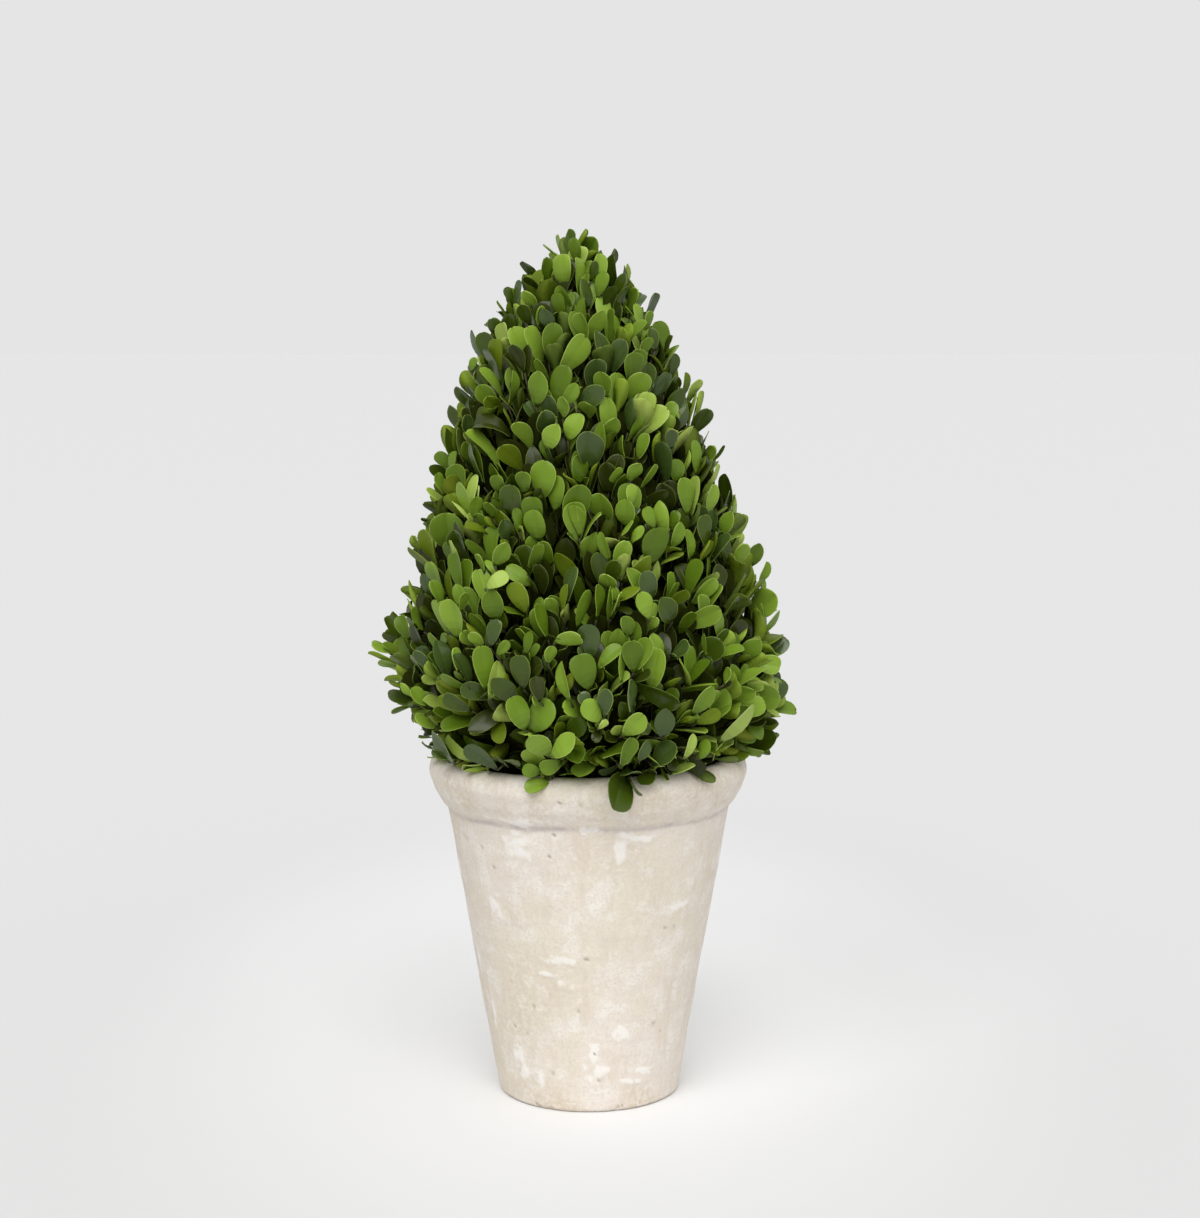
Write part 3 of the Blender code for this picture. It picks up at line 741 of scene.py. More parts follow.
def build_core(name, outline, closed, material):
    """A mossy core, near black as painted shade of the crown's inside: the source's, a little slimmer, and
    lumpy on its outside.
    """
    points, faces = turned(outline, CORE_SIDES, closed)
    moved = []
    for point in points:
        place = Vector(point)
        level = Vector((place.x, place.y, 0.0))
        if place.z > CORE_OVER_RIM and level.length > trunk_radius(place.z) + CORE_PLAIN:
            place += level.normalized() * CORE_LUMPS * MM * noise.fractal(place * 130.0, 0.7, 2.1, 4)
        place.x += lean(place.z)
        moved.append(tuple(place))
    return new_object(name, moved, faces, [material])


def build_cores():
    # the cores' near-black moss is partly painted shade of the crown's inside
    moss = rough_material("core_of_moss_and_shade", *MOSS_AND_SHADE_COLOURS, 260.0, 0.95, 1.5 * MM, gloss=0.04)
    inner = trunk_radius(funnel_height(TRUNK_RADIUS)) + CORE_BORE
    seam = seam_height()
    skirt_outline = [
        (trunk_radius(CORE_FOOT) + CORE_BORE, CORE_FOOT + CORE_RAISED),
        (CORE_MOUTH_RADIUS, CORE_FOOT + CORE_RAISED),
        (CORE_MOUTH_RADIUS, CORE_SHOULDER),
        *core_side(CORE_OVER_RIM, seam - 0.5 * CLEARANCE),
        (inner, funnel_height(inner) - 0.5 * CLEARANCE),
    ]
    cone_outline = [
        (0.0, TRUNK_TOP + CLEARANCE),
        (trunk_radius(TRUNK_TOP) + CORE_BORE, TRUNK_TOP + CLEARANCE),
        (inner, funnel_height(inner) + 0.5 * CLEARANCE),
        *core_side(seam + 0.5 * CLEARANCE, CORE_TOP - CORE_BEVEL),
        (0.0, CORE_TOP),
    ]
    skirt = build_core("skirt_core_of_moss_and_shade", skirt_outline, True, moss)
    cone = build_core("cone_core_of_moss_and_shade", cone_outline, False, moss)
    return skirt, cone


# ---- Leaves ----

# Stations along a leaf, as shares of its length.
ROWS = np.array([0.0, 0.13, 0.29, 0.46, 0.63, 0.78, 0.89, 0.955, 0.988, 1.0])
COLUMNS = 6  # edge, inside of the margin, two sides of the midrib, inside of the margin, edge
PROXY_ROWS = (2, 4, 6, 9)  # of the sheet tested for crossings, so the part below row 2 may cross
# DIM, SHADE and THROAT are painted shade: the upper side of a leaf darkened in three steps towards its foot,
# where neighbouring leaves shade it.
UPPER, UNDER, EDGE, DIM, SHADE, THROAT = range(6)
MARGIN, RIB = 6, 7  # stand for UPPER or EDGE, as each leaf has it
PAINTED_LEAF_SHADE = {"dim": 0.90, "shade": 0.77, "throat": 0.58}  # of the upper side, down to the foot of a leaf

# Tint, from dark to light: share of the sprays, upper side, under side, margin and midrib, roughness, gloss.
TINTS = {
    # the first tint is painted shade only: no spray has it, but leaves deep in the crown take it
    "night": (0.00, (0.018, 0.023, 0.002), (0.030, 0.042, 0.003), (0.04, 0.06, 0.006), 0.70, 0.03),
    "dusk": (0.12, (0.028, 0.040, 0.003), (0.055, 0.080, 0.005), (0.10, 0.14, 0.02), 0.30, 0.26),
    "deep": (0.15, (0.044, 0.073, 0.004), (0.092, 0.134, 0.007), (0.14, 0.20, 0.03), 0.26, 0.33),
    "grey": (0.08, (0.047, 0.080, 0.014), (0.108, 0.155, 0.024), (0.17, 0.24, 0.05), 0.25, 0.40),
    "mid": (0.19, (0.086, 0.148, 0.007), (0.165, 0.240, 0.013), (0.20, 0.29, 0.04), 0.31, 0.22),
    "olive": (0.08, (0.120, 0.175, 0.008), (0.190, 0.245, 0.017), (0.22, 0.29, 0.04), 0.36, 0.14),
    "leaf": (0.17, (0.138, 0.228, 0.018), (0.220, 0.312, 0.028), (0.26, 0.36, 0.06), 0.33, 0.18),
    "fresh": (0.15, (0.200, 0.315, 0.030), (0.275, 0.385, 0.048), (0.33, 0.44, 0.09), 0.35, 0.20),
    "lime": (0.06, (0.310, 0.425, 0.070), (0.385, 0.490, 0.100), (0.42, 0.52, 0.15), 0.36, 0.22),
}
TINT_ORDER = tuple(TINTS)[1:]


def leaf_grid_faces():
    """The triangles of one leaf and their materials: a grid above, and one fold along the middle below."""
    rows, columns = len(ROWS), COLUMNS
    last = rows - 1
    above = {(row, column): row * columns + column for row in range(rows) for column in range(columns)}
    below = {row: rows * columns + row - 1 for row in range(1, last)}
    faces, slots = [], []
    for row in range(last):
        for column in range(columns - 1):
            margin = column in (0, columns - 2) or row == last - 1
            zone = MARGIN if margin else RIB if column == 2 else UPPER
            # painted shade: the three rows at a leaf's foot take darker copies of its upper side
            slots += 2 * [(THROAT, SHADE, DIM)[row] if row < 3 and (zone != MARGIN or row == 0) else zone]
            first, second = above[row, column], above[row, column + 1]
            third, fourth = above[row + 1, column + 1], above[row + 1, column]
            faces += [(first, second, third), (first, third, fourth)]
    under = []
    left, right = 0, columns - 1
    for row in range(1, last - 1):
        for side, far in ((left, False), (right, True)):
            square = [above[row, side], below[row], below[row + 1], above[row + 1, side]]
            if far:
                square.reverse()
            under += [square[:3], [square[0], square[2], square[3]]]
    for row, edge_row in ((0, 1), (last, last - 1)):
        fan = [above[edge_row, left]] + [above[row, column] for column in range(columns)]
        fan.append(above[edge_row, right])
        for first, second in zip(fan, fan[1:]):
            corner = [first, second, below[edge_row]]
            under.append(corner if row == 0 else corner[::-1])
    faces += [face[::-1] for face in under]
    slots += [UNDER] * len(under)
    return np.array(faces), np.array(slots)


LEAF_FACES, LEAF_SLOTS = leaf_grid_faces()


class LeafShape:
    """The random traits of one leaf."""

    def __init__(self, chance, size=1.0):
        self.length = LEAF_LENGTH * size * chance.uniform(0.82, 1.1)
        self.width = LEAF_WIDTH * size * chance.uniform(0.74, 1.1)
        self.base = chance.uniform(0.78, 1.35)
        self.tip = chance.uniform(0.36, 0.50) if chance.random() < 0.75 else chance.uniform(0.55, 0.75)
        self.fold = math.radians(chance.uniform(6.0, 42.0))
        self.curl = math.radians(chance.gauss(-4.0, 32.0))
        self.twist = math.radians(chance.gauss(0.0, 14.0))
        self.droop = chance.uniform(0.0, 0.9) * MM
        self.wave = chance.uniform(0.0, 0.45) * MM
        self.phase = chance.uniform(0.0, 2.0 * math.pi)
        self.notch = chance.uniform(0.0, 0.035)
        self.bend = math.radians(chance.gauss(0.0, 7.0))
        self.pale_margin = chance.random() < 0.65
        self.pale_rib = chance.random() < 0.16


def leaf_slots(shape):
    """The material of each face of a leaf."""
    slots = LEAF_SLOTS.copy()
    slots[slots == MARGIN] = EDGE if shape.pale_margin else UPPER
    slots[slots == RIB] = EDGE if shape.pale_rib else UPPER
    return slots


def leaf_points(shape, root, along, face):
    """The points of a leaf from its root along a direction, its upper side towards face."""
    across = along.cross(face).normalized()
    face = across.cross(along).normalized()
    peak = shape.base / (shape.base + shape.tip)
    norm = peak**shape.base * (1.0 - peak) ** shape.tip
    half = 0.5 * shape.width * ROWS**shape.base * (1.0 - ROWS) ** shape.tip / norm
    half = np.maximum(half, (0.55 - 0.2 * ROWS) * MM)
    half[-1] = 0.10 * shape.width
    margin = np.minimum(LEAF_MARGIN, 0.35 * half)
    rib = np.minimum(0.30 * MM * (1.15 - ROWS), 0.3 * half)
    u = np.stack([-half, margin - half, -rib, rib, half - margin, half], axis=1)
    share = np.abs(u) / half[:, None]
    v = shape.length * ROWS[:, None] + 0.0 * u
    v[-1, [0, -1]] -= 0.2 * shape.notch * shape.length
    v[-2:, 2:4] -= shape.notch * shape.length * np.array([[0.4], [1.0]])
    thick = 0.5 * LEAF_THICKNESS * np.minimum(1.0, 1.2 - ROWS)
    w = np.tan(shape.fold) * np.abs(u) * (1.0 - 0.25 * share) - shape.droop * share**3
    w = w + shape.wave * share * np.sin(2.0 * math.pi * 1.3 * ROWS[:, None] + shape.phase + np.sign(u))
    w = w + (1.0 - share**4) * thick[:, None]
    w[:, 2:4] -= 0.24 * MM
    u = np.concatenate([u.ravel(), 0.0 * ROWS[1:-1]])
    v = np.concatenate([v.ravel(), shape.length * ROWS[1:-1]])
    w = np.concatenate([w.ravel(), -thick[1:-1] - 0.22 * MM])
    t = v / shape.length
    angle = shape.curl * t
    if abs(shape.curl) > 1e-3:
        run = shape.length * np.sin(angle) / shape.curl
        rise = shape.length * (1.0 - np.cos(angle)) / shape.curl
    else:
        run, rise = v, 0.0 * v
    uu = u * np.cos(shape.twist * t) - w * np.sin(shape.twist * t)
    ww = u * np.sin(shape.twist * t) + w * np.cos(shape.twist * t)
    x = uu + shape.bend * run * t
    y = run - ww * np.sin(angle)
    z = rise + ww * np.cos(angle)
    basis = np.array([across, along, face])
    return np.stack([x, y, z], axis=1) @ basis + np.array(root)


def leaf_row(points, row):
    """The left edge, the middle and the right edge of a leaf at a row."""
    grid = points[: len(ROWS) * COLUMNS].reshape(len(ROWS), COLUMNS, 3)
    return grid[row, 0], 0.5 * (grid[row, 2] + grid[row, 3]), grid[row, -1]


def leaf_proxy(points):
    """A sheet of a few faces in place of a leaf's upper part, for telling roughly whether leaves cross."""
    corners = []
    for row in PROXY_ROWS:
        corners += [Vector(corner) for corner in leaf_row(points, row)]
    faces = []
    for row in range(len(PROXY_ROWS) - 1):
        for column in range(2):
            first = 3 * row + column
            faces.append((first, first + 1, first + 4))
            faces.append((first, first + 4, first + 3))
    return corners, faces


class Taken:
    """The room of outer and seen leaves and the middles of all; inner leaves may cross inner ones."""

    def __init__(self, room):
        self.centres = np.zeros((room, 3))
        self.reaches = np.zeros(room)
        self.middles = np.zeros((room, 3))
        self.count = 0
        self.trees = []

    def clashes(self, corners, faces):
        tree = BVHTree.FromPolygons(corners, faces, all_triangles=True)
        centre = np.mean(corners, axis=0)
        reach = max(math.dist(corner, centre) for corner in corners)
        count = len(self.trees)
        gaps = np.linalg.norm(self.centres[:count] - centre, axis=1) - self.reaches[:count] - reach
        found = 0
        for index in np.nonzero(gaps < 0.0)[0]:
            if tree.overlap(self.trees[index]):
                found += 1
        return found, (tree, centre, reach)

    def crowded(self, corners):
        """Whether the middle of an inner leaf is close to another leaf's."""
        near = np.linalg.norm(self.middles[: self.count] - np.mean(corners, axis=0), axis=1)
        return self.count > 0 and near.min() < INNER_GAP

    def add_middle(self, centre):
        self.middles[self.count] = centre
        self.count += 1

    def add(self, room):
        self.add_middle(room[1])
        count = len(self.trees)
        self.centres[count] = room[1]
        self.reaches[count] = room[2]
        self.trees.append(room[0])


def proud(height):
    """How much further out than the outline tips grow: more at the cone's sides, less at its foot."""
    over = PROUD * smooth(198.0 * MM, 235.0 * MM, height)
    return over - TUCKED * smooth(190.0 * MM, 172.0 * MM, height)


def slimmer(azimuth, height):
    """How much less the crown reaches low down on its left, as the photo shows."""
    left = 0.5 - 0.5 * math.cos(azimuth)
    return LEFT_TUCK * left * left * smooth(212.0 * MM, 182.0 * MM, height)


def in_core(point, depth=0.0):
    return math.hypot(point[0], point[1]) < core_radius(point[2]) - depth


def in_pot(point):
    """Whether a point is inside the pot or its fill, or too close to them."""
    radius = math.hypot(point[0], point[1])
    if radius > RIM_RADIUS + LIMB_MARGIN or point[2] > POT_HEIGHT + LIMB_MARGIN:
        return False
    if radius > MOUTH_RADIUS - LIMB_MARGIN:
        return point[2] < rim_top(min(RIM_RADIUS, max(MOUTH_RADIUS, radius))) + LIMB_MARGIN
    return point[2] < FILL_TOP + LIMB_MARGIN


def past_crown(point, slack):
    """Whether a point is further out than the crown reaches."""
    if point[2] > CROWN_TOP + 1.0 * MM:
        return True
    return math.hypot(point[0], point[1]) > crown_radius(point[2]) + slack


# ---- Growing ----


class Growth:
    """Everything that grows: leaves by mass and tint, and twigs by mass."""

    def __init__(self):
        self.chance = random.Random(SEED)
        self.taken = Taken(14000)
        self.leaves = {(mass, tint): [] for mass in (SKIRT, CONE) for tint in TINTS}
        self.twigs = {SKIRT: [], CONE: []}
        self.sprigs = []
        self.shown = []

    def tint(self):
        pick = self.chance.random() * sum(row[0] for row in TINTS.values())
        for name, row in TINTS.items():
            pick -= row[0]
            if pick <= 0.0:
                return name
        return name

    def leaf_tint(self, tint, pair, shade):
        """A leaf's own tint: its spray's, sometimes the next one, and a dark one as painted shade where
        others would shade it.
        """
        if self.chance.random() < shade + 0.15 * max(0, pair - 1):
            return self.chance.choice(("dusk", "dusk", "deep", "deep", "mid"))
        if self.chance.random() < 0.28:
            place = TINT_ORDER.index(tint) + self.chance.choice((-1, 1))
            return TINT_ORDER[min(len(TINT_ORDER) - 1, max(0, place))]
        return tint

    def hides_seen(self, corners):
        """Whether a leaf would stand before one of those that the photo shows."""
        if corners[4].y > 0.0 or len(self.shown) == 0:
            return False
        shown = self.shown_array
        for corner in corners:
            across, down, depth = project(corner)
            near = np.hypot(shown[:, 0] - across, shown[:, 1] - down) < HIDING_REACH
            if np.any(near & (shown[:, 2] > depth)):
                return True
        return False

    def try_leaf(self, mass, tint, root, along, face, size, slack, inner):
        shape = LeafShape(self.chance, size)
        points = leaf_points(shape, root, along, face)
        corners, faces = leaf_proxy(points)
        if any(in_pot(corner) or past_crown(corner, slack) for corner in corners):
            return False
        if in_core(corners[4], 1.0 * MM) and in_core(corners[7], 1.0 * MM):
            return False
        if self.hides_seen(corners):
            return False
        if inner and self.taken.crowded(corners):
            return False
        clashes, room = self.taken.clashes(corners, faces)
        if clashes:
            return False
        if inner:
            self.taken.add_middle(room[1])
        else:
            self.taken.add(room)
        # painted shade: the deeper a leaf's tip lies under the outline, the likelier it turns to a darkest
        # tint
        top = corners[7]
        depth = crown_radius(top.z) + proud(top.z) - math.hypot(top.x, top.y)
        depth *= 1.0 - 0.4 * smooth(310.0 * MM, 380.0 * MM, top.z)
        if self.chance.random() < smooth(*SHADED_DEPTHS, depth):
            tint = self.chance.choice(("night", "night", "dusk"))
        self.leaves[mass, tint].append((points, leaf_slots(shape)))
        return True


def outward(point):
    level = Vector((point.x, point.y, 0.0))
    if level.length < 1e-6:
        return Vector((0.0, 0.0, 1.0))
    return level.normalized()


def turn_to(axis, face, aim, share):
    """The face turned about an axis by a share of the way towards an aim."""
    aim = aim - axis * aim.dot(axis)
    if aim.length < 1e-4:
        return face
    aim = aim.normalized()
    angle = math.atan2(face.cross(aim).dot(axis), face.dot(aim))
    return Matrix.Rotation(angle * share, 3, axis) @ face


def find_root(start, way):
    """Where a twig comes out of its core, followed back from a place on it, and the mass it belongs to."""
    root = start.copy()
    while not in_core(root) and (start - root).length < LONGEST_TWIG:
        root -= way * ROOT_STEP
    return root, CONE if root.z > funnel_height(math.hypot(root.x, root.y)) else SKIRT


def grow_sprig(growth, azimuth, height, reach, rise, pairs, size, wander, slack, shade=0.0):
    """A twig with pairs of leaves, its leaf tips reaching to a place on the outline."""
    chance = growth.chance
    radius = max(0.0, reach + chance.uniform(*wander))
    target = Vector((radius * math.cos(azimuth), radius * math.sin(azimuth), height))
    rise += chance.uniform(-TWIG_TILT, TWIG_TILT)
    turned_by = azimuth + chance.uniform(-TWIG_TURN, TWIG_TURN)
    level = math.cos(rise)
    along = Vector((level * math.cos(turned_by), level * math.sin(turned_by), math.sin(rise)))
    size *= chance.uniform(0.86, 1.12)
    length = LEAF_LENGTH * size
    tip = target - along * 0.8 * length
    root, mass = find_root(tip, along)
    growth.twigs[mass].append((root - along * TWIG_SUNK, tip))
    sprig = Sprig(mass, tip, along, (tip - root).length, size, slack, shade, growth)
    sprig.grow(growth, range(OUTER_PAIRS))
    growth.sprigs.append((sprig, pairs))


class Sprig:
    """A twig's leaves, in crossed pairs from its tip down."""

    def __init__(self, mass, tip, along, run, size, slack, shade, growth):
        self.mass, self.tip, self.along, self.run = mass, tip, along, run
        self.size, self.slack, self.shade = size, slack, shade
        self.tint = growth.tint()
        self.turn = growth.chance.uniform(0.0, 2.0 * math.pi)

    def grow(self, growth, pairs):
        chance = growth.chance
        for pair in pairs:
            inner = pair >= OUTER_PAIRS
            back = pair * PAIR_SPACING * self.size * chance.uniform(0.85, 1.15)
            if back > self.run + 2.0 * MM:
                break
            node = self.tip - self.along * back
            for side in range(2):
                own = growth.leaf_tint(self.tint, pair, self.shade)
                for attempt in range(INNER_TRIES if inner else LEAF_TRIES):
                    loose = attempt / LEAF_TRIES
                    place, direction, face, size = self.pose(chance, pair, side, node, loose)
                    if growth.try_leaf(self.mass, own, place, direction, face, size, self.slack, inner):
                        break
            self.turn += 0.5 * math.pi + math.radians(chance.uniform(-12.0, 12.0))

    def pose(self, chance, pair, side, node, loose):
        """Where a leaf starts, which way it points and faces, and its size; looser in later tries."""
        along = self.along
        around = self.turn + math.pi * side + math.radians(chance.uniform(-14.0, 14.0) * (1.0 + 3.0 * loose))
        spread = math.radians(LEAF_SPREAD[pair] + chance.uniform(-9.0, 9.0) * (1.0 + 1.5 * loose))
        away = Matrix.Rotation(around, 3, along) @ along.orthogonal().normalized()
        direction = along * math.cos(spread) + away * math.sin(spread)
        lift = LEAF_LIFT * smooth(185.0 * MM, 230.0 * MM, node.z) * chance.uniform(0.2, 1.3)
        direction = (direction * (1.0 - lift) + Vector((0.0, 0.0, lift))).normalized()
        face = (along - direction * along.dot(direction)).normalized()
        aim = outward(node) + Vector((0.0, 0.0, 0.4))
        if face.dot(aim) < -0.25:
            aim = -aim
        face = turn_to(direction, face, aim, chance.uniform(-0.45, 0.35))
        face = Matrix.Rotation(math.radians(chance.gauss(0.0, LEAF_ROLL)), 3, direction) @ face
        size = self.size * (0.90 if pair == 0 else 1.0) * (1.0 - 0.16 * loose)
        return node - along * PAIR_STEP * side + away * 0.5 * TWIG_RADIUS, direction, face, size


def seen_radius(height):
    """The outline that the leaves seen in the photo reach, outside the pot's rim low down."""
    over = crown_radius(height) + 0.5 * proud(height)
    return max(over, RIM_RADIUS + 4.0 * MM) if height < POT_HEIGHT + 4.0 * MM else over


def grow_seen_leaf(growth, tint, base_x, base_y, tip_x, tip_y, wide):
    """One leaf where the photo shows it, on a short twig of its own."""
    chance = growth.chance
    tip = seen_on(tip_x, tip_y, seen_radius, lean)
    far = (tip - CAMERA_PLACE).length
    width = wide * far / FOCAL_PIXELS
    span = math.hypot(tip_x - base_x, tip_y - base_y) * far / FOCAL_PIXELS
    length = min(SEEN_LONGEST, max(1.03 * span, 1.5 * width))
    real_width = max(1.1 * width, SLIMMEST * length)
    aside = math.acos(min(1.0, width / real_width)) * chance.choice((-1.0, 1.0))
    ray = pixel_ray(base_x, base_y)
    middle = (tip - CAMERA_PLACE).dot(ray)
    off = (CAMERA_PLACE + ray * middle - tip).length
    deeper = math.sqrt(max(length * length - off * off, (2.0 * MM) ** 2))
    base = CAMERA_PLACE + ray * (middle + deeper)
    sight = pixel_ray(tip_x, tip_y)
    for shift in SEEN_SHIFTS:
        start = base + sight * shift * MM
        along = tip - base
        start.x -= lean(start.z)
        shape = LeafShape(chance)
        shape.length, shape.width = along.length, real_width
        shape.fold = math.radians(chance.uniform(8.0, 34.0))
        shape.curl = math.radians(chance.uniform(-34.0, 30.0))
        shape.twist = math.radians(chance.uniform(-14.0, 14.0))
        shape.base = 1.25 - 0.6 * min(1.0, real_width / shape.length)
        shape.pale_rib = False
        shape.bend *= 0.5
        along.normalize()
        face = Matrix.Rotation(aside, 3, along) @ (-sight)
        points = leaf_points(shape, start, along, face)
        corners, faces = leaf_proxy(points)
        if any(in_pot(corner) for corner in corners):
            continue
        clashes, room = growth.taken.clashes(corners, faces)
        if clashes:
            continue
        growth.taken.add(room)
        rise = twig_rise(start.z)
        way = outward(start) * math.cos(rise) + Vector((0.0, 0.0, math.sin(rise)))
        root, mass = find_root(start, way)
        growth.twigs[mass].append((root - way * TWIG_SUNK, start))
        size = 0.9 * length / LEAF_LENGTH
        # the sprig's lower leaves take a dark tint as painted shade, at a chance of 0.3 and more
        sprig = Sprig(mass, start, way, (start - root).length, size, 0.0, 0.3, growth)
        growth.sprigs.append((sprig, PAIRS))
        growth.leaves[mass, tint].append((points, leaf_slots(shape)))
        growth.shown += [project(leaf_row(points, row)[1]) for row in SEEN_STATIONS]
        return


def spread_places(count, start):
    """Places spread evenly over the crown's outline in a spiral: azimuth, height and radius."""
    rise_step = (CROWN_TOP - CROWN_FOOT) / OUTLINE_STEPS
    heights = [CROWN_FOOT + rise_step * step for step in range(OUTLINE_STEPS + 1)]
    areas = [0.0]
    for low, high in zip(heights, heights[1:]):
        slant = math.hypot(high - low, crown_radius(high) - crown_radius(low))
        areas.append(areas[-1] + slant * 0.5 * (crown_radius(low) + crown_radius(high)))
    step = 0
    places = []
    for index in range(count):
        wanted = areas[-1] * (index + 0.5) / count
        while areas[step + 1] < wanted:
            step += 1
        share = (wanted - areas[step]) / (areas[step + 1] - areas[step])
        height = heights[step] + rise_step * share
        places.append((start + index * GOLDEN_ANGLE, height, crown_radius(height)))
    return places


